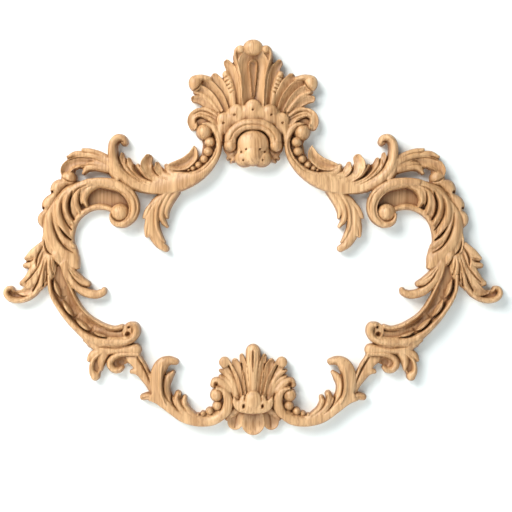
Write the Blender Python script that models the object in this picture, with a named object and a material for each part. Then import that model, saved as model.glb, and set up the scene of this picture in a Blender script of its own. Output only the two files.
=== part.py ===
"""Carved wooden applique: a crowned frame of scrolls, leaves and shells, one piece of wood.

The front looks along -Y, the flat back lies in the plane y = 0 and +Z is up.
The ornament is drawn on a sheet of squares: `across` counts from the centre line to the left,
`down` from the sheet's top edge, and the right half mirrors the left. Each stroke of the gouge
is a smooth path with a half width in squares and a height as a share of the relief's depth.
"""
import bpy
import numpy as np
from mathutils import Vector
from mathutils.geometry import delaunay_2d_cdt

# Metres: overall width, depth from the back to the highest carving, and thinnest wood.
PANEL_WIDTH = 0.800
RELIEF_DEPTH = 0.042
THINNEST_WOOD = 0.009

# Squares of the drawing sheet. Between the centre line and CENTRE_REACH the drawing is squeezed.
SHEET_WIDTH = 502.0
MOUNT_DOWN = 118.0
CENTRE_SQUEEZE = 1.4
CENTRE_REACH = 14.0

# The gouge's strokes, in squares and in shares of their own height and width.
CURVE_STEP = 0.9
FLANK = 1.4
FLANK_DROP = 0.45
EDGE_SHARE = 0.83
ROLL = 1.4
ROUNDNESS = 2.2
GROOVE_FLOOR = 0.22
FAR_OUTSIDE = 9.0
HUSK_SHAPE = (0.25, 0.9, 1.0, 0.85, 0.2)

# Facets, in squares.
CELL = 0.8
CONTOUR_SLACK = 0.28
SMALLEST_ISLAND = 25.0
EDGE_CLEARANCE = 0.7
SEED_SPACING = 9.0
INNER_POINTS = 2400
ROUNDS = 6

WOOD_COLOUR = (0.62, 0.36, 0.17, 1.0)
WOOD_ROUGHNESS = 0.55


def smooth(points):
    """A curve through the points, with their widths and heights carried along it."""
    given = np.asarray(points, float)
    if len(given) < 3:
        return given
    ends = np.vstack([2 * given[0] - given[1], given, 2 * given[-1] - given[-2]])
    curve = []
    for i in range(len(given) - 1):
        before, start, end, after = ends[i:i + 4]
        count = max(2, int(np.hypot(*(end - start)[:2]) / CURVE_STEP) + 1)
        t = np.linspace(0, 1, count, endpoint=False)[:, None]
        curve.append(0.5 * (2 * start + (end - before) * t
                            + (2 * before - 5 * start + 4 * end - after) * t ** 2
                            + (3 * start - before - 3 * end + after) * t ** 3))
    curve.append(given[-1:])
    return np.vstack(curve)


def along(x, y, path):
    """Distance to a path, the side of it, the share of its length gone, and its own values."""
    nearest = np.full(x.shape, np.inf)
    side = np.zeros(x.shape)
    gone = np.zeros(x.shape)
    values = [np.zeros(x.shape) for _ in range(path.shape[1] - 2)]
    lengths = np.hypot(np.diff(path[:, 0]), np.diff(path[:, 1]))
    starts = np.concatenate([[0], np.cumsum(lengths)])
    for k in range(len(path) - 1):
        from_x, from_y = -path[k, 0], path[k, 1]
        run_x, run_y = path[k, 0] - path[k + 1, 0], path[k + 1, 1] - path[k, 1]
        off_x, off_y = x - from_x, y - from_y
        t = np.clip((off_x * run_x + off_y * run_y) / (run_x ** 2 + run_y ** 2 + 1e-12), 0, 1)
        distance = np.hypot(off_x - t * run_x, off_y - t * run_y)
        closer = distance < nearest
        nearest = np.where(closer, distance, nearest)
        side = np.where(closer, np.sign(run_x * off_y - run_y * off_x), side)
        gone = np.where(closer, (starts[k] + t * lengths[k]) / starts[-1], gone)
        for v, value in enumerate(values):
            here = path[k, v + 2] + t * (path[k + 1, v + 2] - path[k, v + 2])
            values[v] = np.where(closer, here, value)
    return nearest, side, gone, values


def enclosed(x, y, ring_x, ring_y):
    """Whether each point lies inside a ring, counting crossings."""
    inside = np.zeros(x.shape, bool)
    for k in range(len(ring_x)):
        x1, y1, x2, y2 = ring_x[k - 1], ring_y[k - 1], ring_x[k], ring_y[k]
        if y1 != y2:
            crosses = (y1 > y) != (y2 > y)
            inside ^= crosses & (x < (x2 - x1) * (y - y1) / (y2 - y1) + x1)
    return inside


def ease(t):
    t = np.clip(t, 0, 1)
    return t * t * (3 - 2 * t)


def spread(values, count):
    """Stretch a short list of values evenly over a longer path."""
    return np.interp(np.linspace(0, 1, count), np.linspace(0, 1, len(values)), values)


def stroke(points, widths, heights):
    """The path of one stroke: across, down, half width, height."""
    points = np.asarray(points, float)
    return np.column_stack([points, spread(widths, len(points)), spread(heights, len(points))])


class Carving:
    """Height and outline of the left half at a set of points, built up stroke by stroke."""

    def __init__(self, across, down):
        shift = CENTRE_SQUEEZE * np.clip(across / CENTRE_REACH, 0, 1)
        self.x = -(across + shift)
        self.y = down
        self.height = np.zeros(across.shape)
        self.inside = np.full(across.shape, -FAR_OUTSIDE)
        self.rows = np.argsort(self.y, kind="stable")
        self.sorted_y = self.y[self.rows]
        self.reach = np.array([0.0, np.inf, -np.inf])

    def near(self, path, margin):
        low, high = path[:, :2].min(axis=0) - margin, path[:, :2].max(axis=0) + margin
        widest, top, bottom = self.reach
        self.reach = np.array([max(widest, high[0]), min(top, low[1]), max(bottom, high[1])])
        first, last = np.searchsorted(self.sorted_y, [low[1], high[1]])
        rows = self.rows[first:last]
        x = self.x[rows]
        return rows[(x > -high[0]) & (x < -low[0])]

    def add(self, rows, height, inside):
        """Lay a stroke over the others: the higher one shows, its flank sloping into the valley."""
        keep = inside > -FLANK
        rows, height, inside = rows[keep], height[keep], inside[keep]
        height = height - FLANK_DROP * np.clip(-inside / FLANK, 0, 1)
        self.height[rows] = np.maximum(self.height[rows], height)
        self.inside[rows] = np.maximum(self.inside[rows], inside)

    @staticmethod
    def rounded(inside, edge):
        """The share of its height that a stroke keeps close to its edge."""
        t = np.clip(inside / ROLL, 0, 1)
        return edge + (1 - edge) * np.sqrt(1 - (1 - t) ** 2)

    def limb(self, path, bow=0.3, lean=0.0, edge=EDGE_SHARE):
        """A lobe or stem along a path: rounded, or hollow between two rims where bow is below 0.
        A lean above 0 keeps its right side high, seen along the path, and lets the left side drop."""
        path = smooth(path)
        rows = self.near(path, path[:, 2].max() + FLANK)
        distance, side, _, (width, height) = along(self.x[rows], self.y[rows], path)
        u = np.clip(distance / width, 0, 1)
        form = 1 - bow * u ** ROUNDNESS if bow >= 0 else 1 + bow * (1 - u ** 2)
        form = form - abs(lean) * (1 - np.sign(lean) * side * u) / 2
        inside = width - distance
        self.add(rows, height * form * self.rounded(inside, edge), inside)

    def ball(self, across, down, radius_across, radius_down, height, foot=0.35):
        """A boss, rising from a share of its height at the rim."""
        rows = self.near(np.array([[across, down]]), max(radius_across, radius_down) + FLANK)
        q = np.hypot((self.x[rows] + across) / radius_across, (self.y[rows] - down) / radius_down)
        form = foot + (1 - foot) * np.sqrt(np.clip(1 - q * q, 0, 1))
        self.add(rows, height * form, (1 - q) * min(radius_across, radius_down))

    def plate(self, ring, height, dish=0.0, rim=4.0, both_halves=False, curved=True):
        """A flat or dished ground inside a ring, swelling up where dish is below 0."""
        ring = smooth(ring) if curved else np.asarray(ring, float)
        if both_halves:
            ring = np.vstack([ring, (ring * [-1, 1])[::-1]])
        ring = np.vstack([ring, ring[:1]])
        rows = self.near(ring, FLANK)
        x, y = self.x[rows], self.y[rows]
        distance, _, _, _ = along(x, y, ring)
        inside = np.where(enclosed(x, y, -ring[:, 0], ring[:, 1]), distance, -distance)
        form = 1 - dish * ease(inside / rim)
        self.add(rows, height * form * self.rounded(inside, EDGE_SHARE), inside)

    def ribbon(self, outer, inner, heights, bow=0.15, lean=(0.0, 0.0)):
        """A band between two lines. Its lean lets the inner side drop, from its start to its end."""
        outer, inner = smooth(outer), smooth(inner)
        ring = np.vstack([outer, inner[::-1], outer[:1]])
        rows = self.near(ring, FLANK)
        x, y = self.x[rows], self.y[rows]
        to_outer, _, gone_outer, _ = along(x, y, outer)
        to_inner, _, gone_inner, _ = along(x, y, inner)
        to_edge, _, _, _ = along(x, y, ring)
        inside = np.where(enclosed(x, y, -ring[:, 0], ring[:, 1]), to_edge, -to_edge)
        u = (to_outer - to_inner) / (to_outer + to_inner + 1e-9)
        gone = (gone_outer + gone_inner) / 2
        drop = np.interp(gone, np.linspace(0, 1, len(lean)), lean)
        height = np.interp(gone, np.linspace(0, 1, len(heights)), heights)
        form = 1 - bow * u ** 2 - drop * (1 + u) / 2
        self.add(rows, height * form * self.rounded(inside, EDGE_SHARE), inside)

    def cut(self, path, floor=GROOVE_FLOOR, sharp=2.0):
        """A groove; the path's last value is its depth."""
        path = smooth(path)
        rows = self.near(path, path[:, 2].max())
        distance, _, _, (width, depth) = along(self.x[rows], self.y[rows], path)
        share = (1 - np.clip(distance / width, 0, 1)) ** sharp
        height = self.height[rows]
        self.height[rows] = np.maximum(height - depth * share, np.minimum(height, floor))

    def scoop(self, across, down, radius_across, radius_down, depth, floor=GROOVE_FLOOR):
        """A drilled or gouged hollow."""
        rows = self.near(np.array([[across, down]]), max(radius_across, radius_down))
        q = np.hypot((self.x[rows] + across) / radius_across, (self.y[rows] - down) / radius_down)
        height = self.height[rows]
        share = 1 - np.clip(q, 0, 1) ** 2
        self.height[rows] = np.maximum(height - depth * share, np.minimum(height, floor))


def crown(c):
    """The fan of lobes at the top, with its concave centre lobe."""
    c.plate([(0, 54), (18, 56), (24, 66), (31, 77), (44, 82), (56, 90), (50, 96), (55, 102), (46, 106),
             (50, 112), (40, 124), (0, 124)], 0.36, both_halves=True, curved=False)
    c.plate([(8, 46), (16, 47), (20, 53), (19.4, 60), (16, 66), (12, 58)], 0.40, curved=False)
    c.limb(stroke([(0, 66), (0, 78), (0, 92), (0, 108)], (17.4, 14.8, 13, 12), (0.70, 0.68)), bow=-0.42,
           edge=0.9)
    c.limb(stroke([(19.2, 54), (18, 60), (15.4, 69), (13.2, 79), (12, 98)], (1.9, 1.5, 1.3),
                  (0.74, 0.68)), bow=0.2)
    c.ball(0, 47.6, 10.2, 8, 0.88, 0.7)
    c.ball(14, 49.6, 5.4, 4.2, 0.80, 0.7)
    c.limb(stroke([(13, 48.6), (17.6, 49.8), (19.2, 54)], (3.2, 2.6, 1.8), (0.74, 0.74)))
    c.limb(stroke([(0, 64.6), (0, 75), (0, 90), (0, 98)], (4.8, 3.9, 2.1, 0.9), (0.66, 0.62)), bow=-0.5,
           edge=0.9)
    c.limb(stroke([(27.6, 62.8), (23.6, 69), (20.8, 78), (18.6, 90), (17, 106)],
                  (3.4, 5, 4.6, 4, 3.4), (0.60, 0.62, 0.64)), bow=-0.2, lean=-0.26)
    c.limb(stroke([(28.6, 74), (26.4, 80), (23.6, 88), (21.4, 97), (20, 108)], (3.6, 4.8, 4.4, 3.6, 3),
                  (0.56, 0.62)), bow=0.3)
    for across, down in ((28.4, 77), (27.4, 80.8), (26, 84.6), (24.6, 88.4), (23.2, 92.2)):
        c.cut(stroke([(across - 2.8, down - 1), (across, down), (across + 2.6, down + 1.6)],
                     (0.9, 1.4, 0.9), (0.03, 0.10, 0.06)), sharp=1.3)
    c.limb(stroke([(39.6, 77), (35.4, 83), (30.8, 91), (27, 100), (24.6, 110)], (4, 5.4, 5.2, 4.6, 3.6),
                  (0.54, 0.62)), bow=-0.12, lean=-0.26)
    c.plate([(44, 77), (54, 76), (62, 80), (63, 88), (56, 92), (44, 90), (38, 88)], 0.36, curved=False)
    c.limb(stroke([(54, 83.6), (46.4, 85.8), (38.4, 94), (33.4, 101), (29.6, 109)],
                  (5, 6.2, 6.2, 5.2, 4), (0.60, 0.64)), bow=-0.26, lean=-0.2)
    c.limb(stroke([(56, 87.6), (48.4, 92), (41, 99.4), (34.6, 110)], (3.6, 4.2, 3.8, 3), (0.58, 0.62)),
           bow=-0.12, lean=-0.2)
    c.limb(stroke([(59.6, 92), (52, 95.4), (45, 101), (37, 111)], (2.2, 3.4, 3.6, 3.2), (0.54, 0.60)),
           lean=-0.2)
    c.ball(59.4, 83.2, 6.8, 8, 0.72, 0.64)
    c.limb(stroke([(45, 79), (52, 77.6), (58, 78)], (3, 3.4, 3.6), (0.60, 0.66, 0.66)))
    c.cut(stroke([(50.6, 80.2), (53.6, 83.4), (56.4, 87.6), (60.6, 90.4)], (1.0, 1.5, 1.7, 1.2),
                 (0.05, 0.16, 0.2, 0.1)))
    c.limb(stroke([(60.4, 98.8), (54, 99.8), (46, 104.8), (38, 113)], (3.4, 4.2, 4.2, 3.4),
                  (0.52, 0.58)), bow=-0.16, lean=-0.2)
    c.limb(stroke([(52.6, 108), (46, 110), (38, 116)], (1.6, 3.4, 3.4), (0.46, 0.54)), bow=0.3)
    c.plate([(34, 112), (50, 111), (61, 112), (64, 118), (62, 127), (54, 126), (42, 124), (34, 132)],
            0.38, curved=False)
    c.limb(stroke([(61.4, 126), (62.8, 121), (60.8, 115.4), (54.6, 112.4), (46, 114.6), (36, 121)],
                  (4.4, 4.6, 4.6, 4.8, 5.4, 5.8), (0.60, 0.62, 0.62, 0.64)), bow=-0.14, lean=0.2)
    c.cut(stroke([(58.6, 123.4), (58.4, 119.6), (54.4, 117.2), (46, 119.4)], (1.6, 2.2, 2.2, 1.4),
                 (0.1, 0.24, 0.2, 0.08)))
    c.cut(stroke([(60.6, 114), (54.6, 111), (46, 112.6), (37, 118)], (1.0, 1.4, 1.0),
                 (0.05, 0.10, 0.06)), sharp=1.4)
    c.cut(stroke([(59.6, 117), (54.6, 114), (46.4, 115.8), (38.6, 120)], (0.8, 1.2, 0.8),
                 (0.03, 0.07, 0.04)), sharp=1.4)


def collar(c):
    """The scalloped collar, the double arch below it and the domed boss with its cheeks."""
    c.limb(stroke([(0, 113), (10, 114), (20, 117), (29, 123.5), (34, 133), (32.6, 141)],
                  (9, 9, 9, 8, 4.4, 1), (0.78, 0.66)), bow=0.22)
    c.ball(0, 109.6, 10.6, 11.6, 0.82, 0.76)
    c.ball(17.4, 114, 8.6, 10, 0.80, 0.76)
    c.ball(30.2, 121.4, 7.4, 9.4, 0.74, 0.7)
    for across, down in ((0, 110), (19.8, 115.2), (31, 123.3)):
        c.scoop(across, down, 1.6, 1.6, 0.2)
    c.cut(stroke([(9.4, 101), (10.6, 108), (9, 117)], (1.6, 1.8, 1.2), (0.08, 0.04)))
    c.cut(stroke([(25, 109), (25.8, 115), (24, 121)], (1.6, 1.8, 1.2), (0.08, 0.04)))
    c.plate([(0, 120), (20, 122), (31, 134), (33, 140), (31, 150), (26, 158), (14, 162), (0, 160)],
            0.46, both_halves=True, curved=False)
    c.ribbon([(-5, 119.4), (3, 119.2), (10, 119.8), (17, 122.4), (24, 127.6), (29, 134.6), (30, 142)],
             [(-5, 130.4), (2, 130.3), (9, 131.2), (14, 134), (17.6, 138.4), (18.6, 144)],
             (0.94, 0.92, 0.86), bow=0.1)
    c.cut(stroke([(-3, 125), (8, 125.6), (15, 128.4), (20.6, 133), (24, 140)], (1.6, 1.6),
                 (0.08, 0.07)), sharp=1.4)
    c.ball(24.2, 145.5, 6.3, 6.3, 0.88, 0.66)
    c.plate([(0, 132), (8, 133), (14, 136.5), (17, 143), (17.4, 152), (19.6, 159), (16.4, 163.8),
             (10, 166.8), (4, 166.2), (0, 164.4)], 0.70, dish=-0.12, rim=7, both_halves=True)
    c.ball(0, 144, 17, 13.6, 0.97, 0.7)
    c.ball(0, 154, 12, 12, 1.0, 0.66)
    c.ball(10.4, 158.4, 9.4, 8.6, 0.88, 0.62)
    for across, down in ((7.6, 149.8), (12.8, 152.4), (10.5, 160.5)):
        c.scoop(across, down, 1.2, 1.2, 0.14)
    c.limb(stroke([(14, 150.6), (20, 153.6), (26.6, 158.4)], (4.4, 4.6, 1.8), (0.64, 0.50)), lean=0.2)
    c.limb(stroke([(15, 156), (20.6, 159), (23.6, 161.6)], (4, 3.4, 1.5), (0.54, 0.44)))


def upper_scroll(c):
    """The S-scroll under the crown: bead, band, pearls, flutes and the curled stem."""
    c.plate([(46, 128), (54, 136), (51.6, 144), (53, 154), (57, 160), (70, 166), (86, 166), (84, 174),
             (60, 172), (44, 160), (38, 146), (40, 134)], 0.36, curved=False)
    outer = [(54, 123.6), (46.3, 122.3), (40.6, 124.2), (36, 129.3), (32.6, 141.5), (34.5, 155.6),
             (42.5, 169.7), (52.7, 180), (65.5, 188), (79.4, 192.7), (94.6, 194.2), (110, 192.4),
             (125, 185), (135.5, 179.7)]
    inner = [(50, 125.5), (46.9, 126.8), (41.9, 132), (38.3, 143.4), (39.9, 151), (43.8, 158),
             (53.4, 167.8), (65, 172), (76, 171.5), (88, 171), (100, 171), (112, 168), (122, 163),
             (130, 157)]
    c.ribbon(outer, inner, (0.70, 0.74, 0.74), bow=0.12, lean=(0, 0, 0, 0.32, 0.34))
    c.cut(stroke([(46.6, 129.8), (40, 136), (36.8, 144), (38.4, 153), (43.2, 161.5), (52, 170.4),
                  (62, 174.4)], (1.5, 1.5, 1.0), (0.10, 0.09, 0.03)), sharp=1.3)
    c.ball(50.5, 132, 8.4, 8.4, 0.78, 0.4)
    pearls = ((44.8, 142.1, 5.4, 0.74), (46.2, 151.6, 5.0, 0.70), (50.4, 159.3, 4.3, 0.66),
              (56.0, 165.0, 3.8, 0.62), (61.6, 168.6, 2.9, 0.58), (65.8, 170.2, 1.9, 0.54))
    for across, down, radius, height in pearls:
        c.ball(across, down, radius, radius, height, 0.5)
    c.plate([(60.6, 145), (57.4, 149), (56.4, 155), (57.6, 160), (62, 165), (68, 169.5), (78, 171),
             (87, 168), (87, 164.4), (79, 160.4), (72, 157.2), (66, 152.6)], 0.52, dish=0.32, rim=6.5)
    c.limb(stroke([(130.4, 142), (132, 138.8), (137, 138), (141, 142.6), (142, 150), (141, 159),
                   (137.8, 168), (131, 176), (121, 183.5), (106, 189), (90, 190)], (4, 4.2, 4.2, 4.8, 5,
                                                                                    5.4, 6.2, 6.6, 6.4,
                                                                                    5, 3),
                  (0.62, 0.72, 0.78, 0.78, 0.74, 0.66)), lean=0.14)
    c.cut(stroke([(138, 152), (138.4, 145), (135.6, 141.4), (132, 141.4), (130.6, 144)],
                 (1.0, 1.4, 1.4, 1.0), (0.02, 0.10, 0.12, 0.04)), sharp=1.4)
    c.limb(stroke([(132.4, 154), (132.6, 160), (130.4, 166.4), (125.4, 173), (117, 180), (103, 186)],
                  (1.8, 3.4, 4.2, 4.4, 4.2, 3), (0.54, 0.70, 0.64)), bow=-0.1, lean=0.3)
    c.limb(stroke([(125.8, 159.4), (124.6, 165), (120.6, 171.4), (113, 178), (99, 183.6)],
                  (2, 3.6, 4.2, 4, 3), (0.54, 0.70, 0.62)), bow=-0.1, lean=0.3)
    c.limb(stroke([(117, 165), (114, 169.4), (108, 175)], (1.8, 3.2, 3.2), (0.50, 0.60)), lean=0.2)
    c.limb(stroke([(107.4, 156.4), (108.6, 163), (106.2, 170), (99, 177), (86, 182.5)],
                  (2.6, 5.6, 6, 5.2, 3.2),
                  (0.56, 0.72, 0.62)), bow=-0.16, lean=0.34)
    c.limb(stroke([(97.4, 163.6), (96, 169), (90.4, 174.4), (78, 179)], (2.2, 4.2, 4.4, 3),
                  (0.54, 0.68, 0.60)), bow=-0.12, lean=0.3)
    c.limb(stroke([(88.2, 165.6), (85.6, 169.8), (77, 174.8)], (2.4, 3.8, 2.8), (0.54, 0.62)), lean=0.2)
    c.cut(stroke([(120.6, 164), (119.4, 168.6), (114.4, 174.4), (109.4, 178.4), (100, 182.6)],
                 (2.0, 2.8, 2.4, 1.8, 1.0), (0.24, 0.44, 0.36, 0.16, 0.0)), floor=0.12)
    c.cut(stroke([(136, 150), (135.8, 158), (132.4, 166.4), (126, 174), (114, 182), (102, 187)],
                 (1.5, 2.0, 1.8, 1.6, 1.4, 1.0), (0.2, 0.24, 0.14, 0.10, 0.06, 0.0)))
    c.cut(stroke([(128.6, 159), (127, 166), (121.6, 173), (112, 180.6), (100, 185.6)],
                 (1.2, 1.6, 1.6, 1.4, 1.0), (0.16, 0.12, 0.10, 0.06, 0.0)), sharp=1.5)
    c.cut(stroke([(101.6, 164), (101.4, 169), (96, 175.6), (84, 180.4)], (1.4, 1.6, 1.5, 1.0),
                 (0.2, 0.14, 0.08, 0.0)), sharp=1.5)
    c.cut(stroke([(92.2, 167), (89.6, 171.6), (80, 176.6)], (1.3, 1.4, 1.0), (0.16, 0.08, 0.0)),
          sharp=1.5)


def hanging_leaf(c):
    """The leaf that hangs into the opening from the S-scroll."""
    c.plate([(70, 186), (78.4, 195.7), (85, 205), (90, 214), (97, 214), (104, 203), (95, 194.5),
             (84, 188)], 0.46, curved=False)
    c.plate([(92, 192), (101, 199.6), (108, 206.8), (111.6, 214), (112, 218.6), (109.4, 219.4),
             (110.6, 227), (109.8, 236), (107.6, 237.8), (104.4, 237), (101.5, 242), (97, 247.4),
             (91.5, 251), (87.2, 250.2), (86.8, 246.6), (91, 243), (94.6, 236), (98, 228), (99, 216),
             (96, 204)], 0.52, dish=-0.08)
    c.limb(stroke([(90, 194), (99, 203), (104, 213), (104.6, 223), (102, 234), (96, 243.6),
                   (89, 248.6)], (4, 5, 5.4, 5.2, 4.8, 4, 2.4), (0.58, 0.57, 0.52)), bow=0.2)
    c.limb(stroke([(88, 192), (95.6, 204), (98.2, 216), (97.6, 227), (94, 236.5), (90.4, 242)],
                  (3.6, 3, 2.8, 2.8, 2.6, 1.5), (0.64, 0.60, 0.52)), bow=0.3)
    c.limb(stroke([(84, 192), (90.8, 204.5), (93.2, 214), (91.6, 221), (87.8, 226.4)],
                  (4, 3.8, 3.6, 3.2, 1.8), (0.62, 0.56)), bow=0.3)
    c.limb(stroke([(78, 191.5), (85.4, 203), (88.4, 211), (87.4, 217.4)], (4, 4, 3.6, 1.7),
                  (0.60, 0.52)), bow=0.3)
    c.cut(stroke([(98, 200), (104.6, 209), (108, 217)], (0.8, 1.3, 0.9), (0.0, 0.05, 0.03)), sharp=1.4)
    c.cut(stroke([(105.4, 222), (107, 230), (107.4, 236)], (0.8, 1.3, 0.9), (0.0, 0.05, 0.05)),
          sharp=1.4)


def shoulder_leaf(c):
    """The leaf over the shoulder, left of the curled stem."""
    c.plate([(140, 162), (146, 160), (150, 156.2), (155, 152.6), (160, 149.6), (166, 148), (172, 148),
             (172.4, 150), (175, 152.6), (183, 155.4), (188, 159), (190, 166), (190, 174), (185, 178),
             (180.4, 174.6), (180, 170.6), (176, 168.4), (170, 168.8), (171.8, 173.4), (166, 171.4),
             (160, 170.6), (152, 171.6), (141, 177)], 0.38, curved=False)
    c.limb(stroke([(143, 164), (155, 157.6), (165, 152.4), (172, 149.4)], (6, 6.4, 4.4, 1.5),
                  (0.64, 0.54)), bow=0.15)
    c.limb(stroke([(150, 162), (163, 156.8), (178, 154.2), (187, 156.8)], (4.5, 4.4, 3.6, 1.7),
                  (0.62, 0.54)), bow=0.2, lean=0.15)
    c.limb(stroke([(152, 165), (165, 162), (178, 162.4), (186, 165.8), (188.8, 171.4), (186.6, 177)],
                  (4.5, 5, 5.6, 5.8, 5.6, 3.6), (0.60, 0.58, 0.56)), bow=-0.36)
    c.limb(stroke([(147, 168.4), (158, 166), (166, 167), (171.4, 173.2)], (5, 5.2, 4.4, 1.8),
                  (0.62, 0.52)), bow=0.18)
    c.limb(stroke([(145, 160), (141, 172), (137, 179)], (4, 5, 4), (0.66, 0.68)))
    c.cut(stroke([(149, 164), (162, 159), (176, 157.6), (188, 160.6)], (1.4, 1.6, 1.4, 1.0),
                 (0.03, 0.12, 0.14)), sharp=1.4)
    c.cut(stroke([(150, 158), (160, 153.6), (172, 152)], (1.2, 1.5, 1.0), (0.02, 0.07, 0.07)),
          sharp=1.4)
    c.cut(stroke([(152, 168), (162, 164.6), (171, 165.6), (176, 168)], (1.2, 1.5, 1.2),
                 (0.02, 0.08, 0.14)), sharp=1.4)


def husks(c):
    """The bud and the string of husks down the outer edge."""
    c.ball(186, 178.4, 8, 7.6, 0.62, 0.55)
    c.cut(stroke([(193, 177), (186.6, 181), (180, 182)], (1.2, 1.8, 1.2), (0.08, 0.14, 0.06)))
    c.limb(stroke([(190, 182.6), (196, 185.6), (199, 190), (199.6, 195), (198.4, 199.4)],
                  (4, 6.4, 6, 3.6, 1.2), (0.60, 0.62, 0.5)), bow=0.35)
    c.scoop(202.2, 192, 1.6, 1.8, 0.26)
    c.limb(stroke([(201, 196), (205.6, 201.6), (208.4, 206), (208.6, 210), (207.2, 213.4)],
                  (4, 6, 5.4, 3.2, 1.2), (0.56, 0.58, 0.46)), bow=0.35)
    c.scoop(211.2, 208, 1.5, 1.6, 0.26)
    c.limb(stroke([(209, 211.6), (212.8, 217), (213.4, 222), (211.8, 227)], (3, 4.4, 3.8, 1.5),
                  (0.50, 0.52, 0.42)), bow=0.35)
    c.scoop(210.8, 225, 1.3, 1.3, 0.2)
    c.scoop(210.6, 234.7, 1.0, 1.2, 0.2)


def side_scroll(c):
    """The C-scroll with its boss, the hollow behind it and the moulding round the opening."""
    c.plate([(121, 212), (123, 200), (132, 188), (144, 184), (154, 183), (165, 186), (170, 194),
             (176, 206), (172, 212), (157, 207), (144.4, 210), (132, 220)], 0.50, dish=0.5, rim=5)
    outer = [(170, 179.7), (160, 177.8), (150, 177.6), (140, 179), (130.4, 183.5), (121.4, 190),
             (116, 199.5), (115.2, 210), (118.4, 219), (125, 225.4), (131.6, 228), (139.4, 226.8),
             (144.4, 222), (145.4, 214)]
    inner = [(168, 187.4), (160, 187), (150, 188.2), (138, 191.2), (131.6, 195.7), (127.2, 202),
             (125.6, 209), (127, 215.6), (130, 219.4), (134.4, 221.6), (139, 220.6), (142.2, 217),
             (143, 213)]
    c.ribbon(outer, inner, (0.82, 0.78, 0.70), bow=0.14, lean=(0.1, -0.06))
    c.cut(stroke([(138, 189.6), (130.6, 194.4), (125.6, 200.8), (123.4, 208), (125, 216),
                  (129.6, 221.4)], (1.4, 1.6, 1.4), (0.03, 0.10, 0.06)), sharp=1.4)
    c.cut(stroke([(131, 186.4), (122.8, 193.6), (118.6, 202), (118, 211), (121, 219)], (1.2, 1.5, 1.0),
                 (0.02, 0.09, 0.02)), sharp=1.4)
    c.ball(134.8, 213, 9.6, 9.2, 0.78, 0.5)
    rim_outer = [(138, 210.5), (144.4, 206.4), (157, 203.8), (170, 208), (181, 218), (186.5, 234),
                 (182, 250), (179, 264)]
    rim_inner = [(141, 214), (149, 210.4), (159, 210.1), (167.3, 213.3), (175, 219.7), (179.5, 229),
                 (181, 241.4), (177.2, 251), (175.3, 267.7)]
    c.ribbon(rim_outer, rim_inner, (0.50, 0.46, 0.42), bow=0.2)


def acanthus(c):
    """The long acanthus leaf that turns the side from the C-scroll into the lower leaf."""
    outer = [(160, 177.8), (170, 179.7), (185, 187.7), (198, 199.2), (207.6, 212.6), (210.8, 230),
             (213, 242), (209, 254), (196, 262), (178.8, 269.6)]
    inner = [(156, 186), (166, 190), (171, 200), (175, 211), (181, 221), (183.6, 234), (182.4, 244),
             (178.4, 250.6), (175.6, 257), (175.3, 267.7)]
    c.ribbon(outer, inner, (0.78, 0.66, 0.58, 0.54), bow=0.1, lean=(0.1, 0.3, 0.3, 0.1))
    c.plate([(186, 256), (206, 256), (212, 270), (207, 288), (190, 290), (184, 276)], 0.30,
            curved=False)
    c.limb(stroke([(152, 183), (162, 185.6), (169, 191.4), (171.2, 199), (168.4, 205.6)],
                  (3.6, 4.6, 4.8, 4.2, 2.2), (0.76, 0.74, 0.60)), lean=-0.22)
    c.limb(stroke([(158, 181.6), (169, 184.8), (176.4, 190.6), (179, 198), (178.8, 206),
                   (175.6, 213.4)], (4, 4.6, 4.6, 4.2, 3.8, 2), (0.80, 0.76, 0.58)), lean=-0.22)
    c.limb(stroke([(170, 183.6), (181, 188.6), (188, 197), (189.8, 206.6), (187.6, 216), (182, 224.4)],
                  (3.8, 4.2, 4.2, 4, 3.8, 2), (0.78, 0.76, 0.58)), lean=-0.18)
    c.limb(stroke([(176, 184.6), (187.6, 190.5), (195, 200), (197.6, 211), (195.6, 222), (190.8, 231),
                   (184.8, 237.6)], (3.4, 4.4, 4.8, 4.8, 4.8, 4.4, 2.2), (0.70, 0.74, 0.56)),
           lean=-0.18)
    c.limb(stroke([(194, 195), (201, 206), (203, 217), (199.6, 229), (192, 239), (182, 246.6)],
                  (3.4, 3.8, 4, 4.8, 5.2, 3.2), (0.56, 0.62, 0.54)), bow=0.2, lean=-0.1)
    c.limb(stroke([(203, 206), (206.6, 218), (206, 232), (201, 244), (193, 253), (185, 260),
                   (177.8, 267)], (3, 4.6, 6, 7.6, 8.4, 8, 2.6), (0.58, 0.68, 0.66, 0.60, 0.54)),
           bow=0.2, lean=-0.16)
    c.cut(stroke([(181.6, 190), (183.6, 196), (185.6, 204), (184.6, 213), (180.6, 219.6)],
                 (1.2, 2.0, 2.8, 2.6, 1.6), (0.04, 0.36, 0.52, 0.46, 0.24)), floor=0.12)
    c.cut(stroke([(196, 226), (192.6, 231.6), (189, 236), (184, 240)], (1.0, 1.8, 2.2, 1.4),
                 (0.04, 0.34, 0.46, 0.34)), floor=0.12)
    c.cut(stroke([(172.6, 188), (175, 194), (175.4, 202), (172.6, 208.6)], (1.2, 1.6, 1.8, 1.8),
                 (0.04, 0.16, 0.26, 0.34)))
    c.cut(stroke([(202.6, 213), (201.4, 225), (197, 238), (190, 247.6), (182, 252.6)],
                 (1.2, 1.8, 2.0, 1.8, 1.2), (0.06, 0.16, 0.24, 0.22, 0.1)), sharp=1.5)
    c.cut(stroke([(168, 185.6), (178, 190), (184.6, 200)], (1.3, 1.3, 0.8), (0.06, 0.1, 0.04)),
          sharp=1.4)
    c.cut(stroke([(190.6, 195), (193.4, 205), (191.8, 216), (186.6, 226), (183, 230)],
                 (1.3, 1.7, 1.7, 1.2, 1.0), (0.03, 0.15, 0.18, 0.14)), sharp=1.4)


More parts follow.
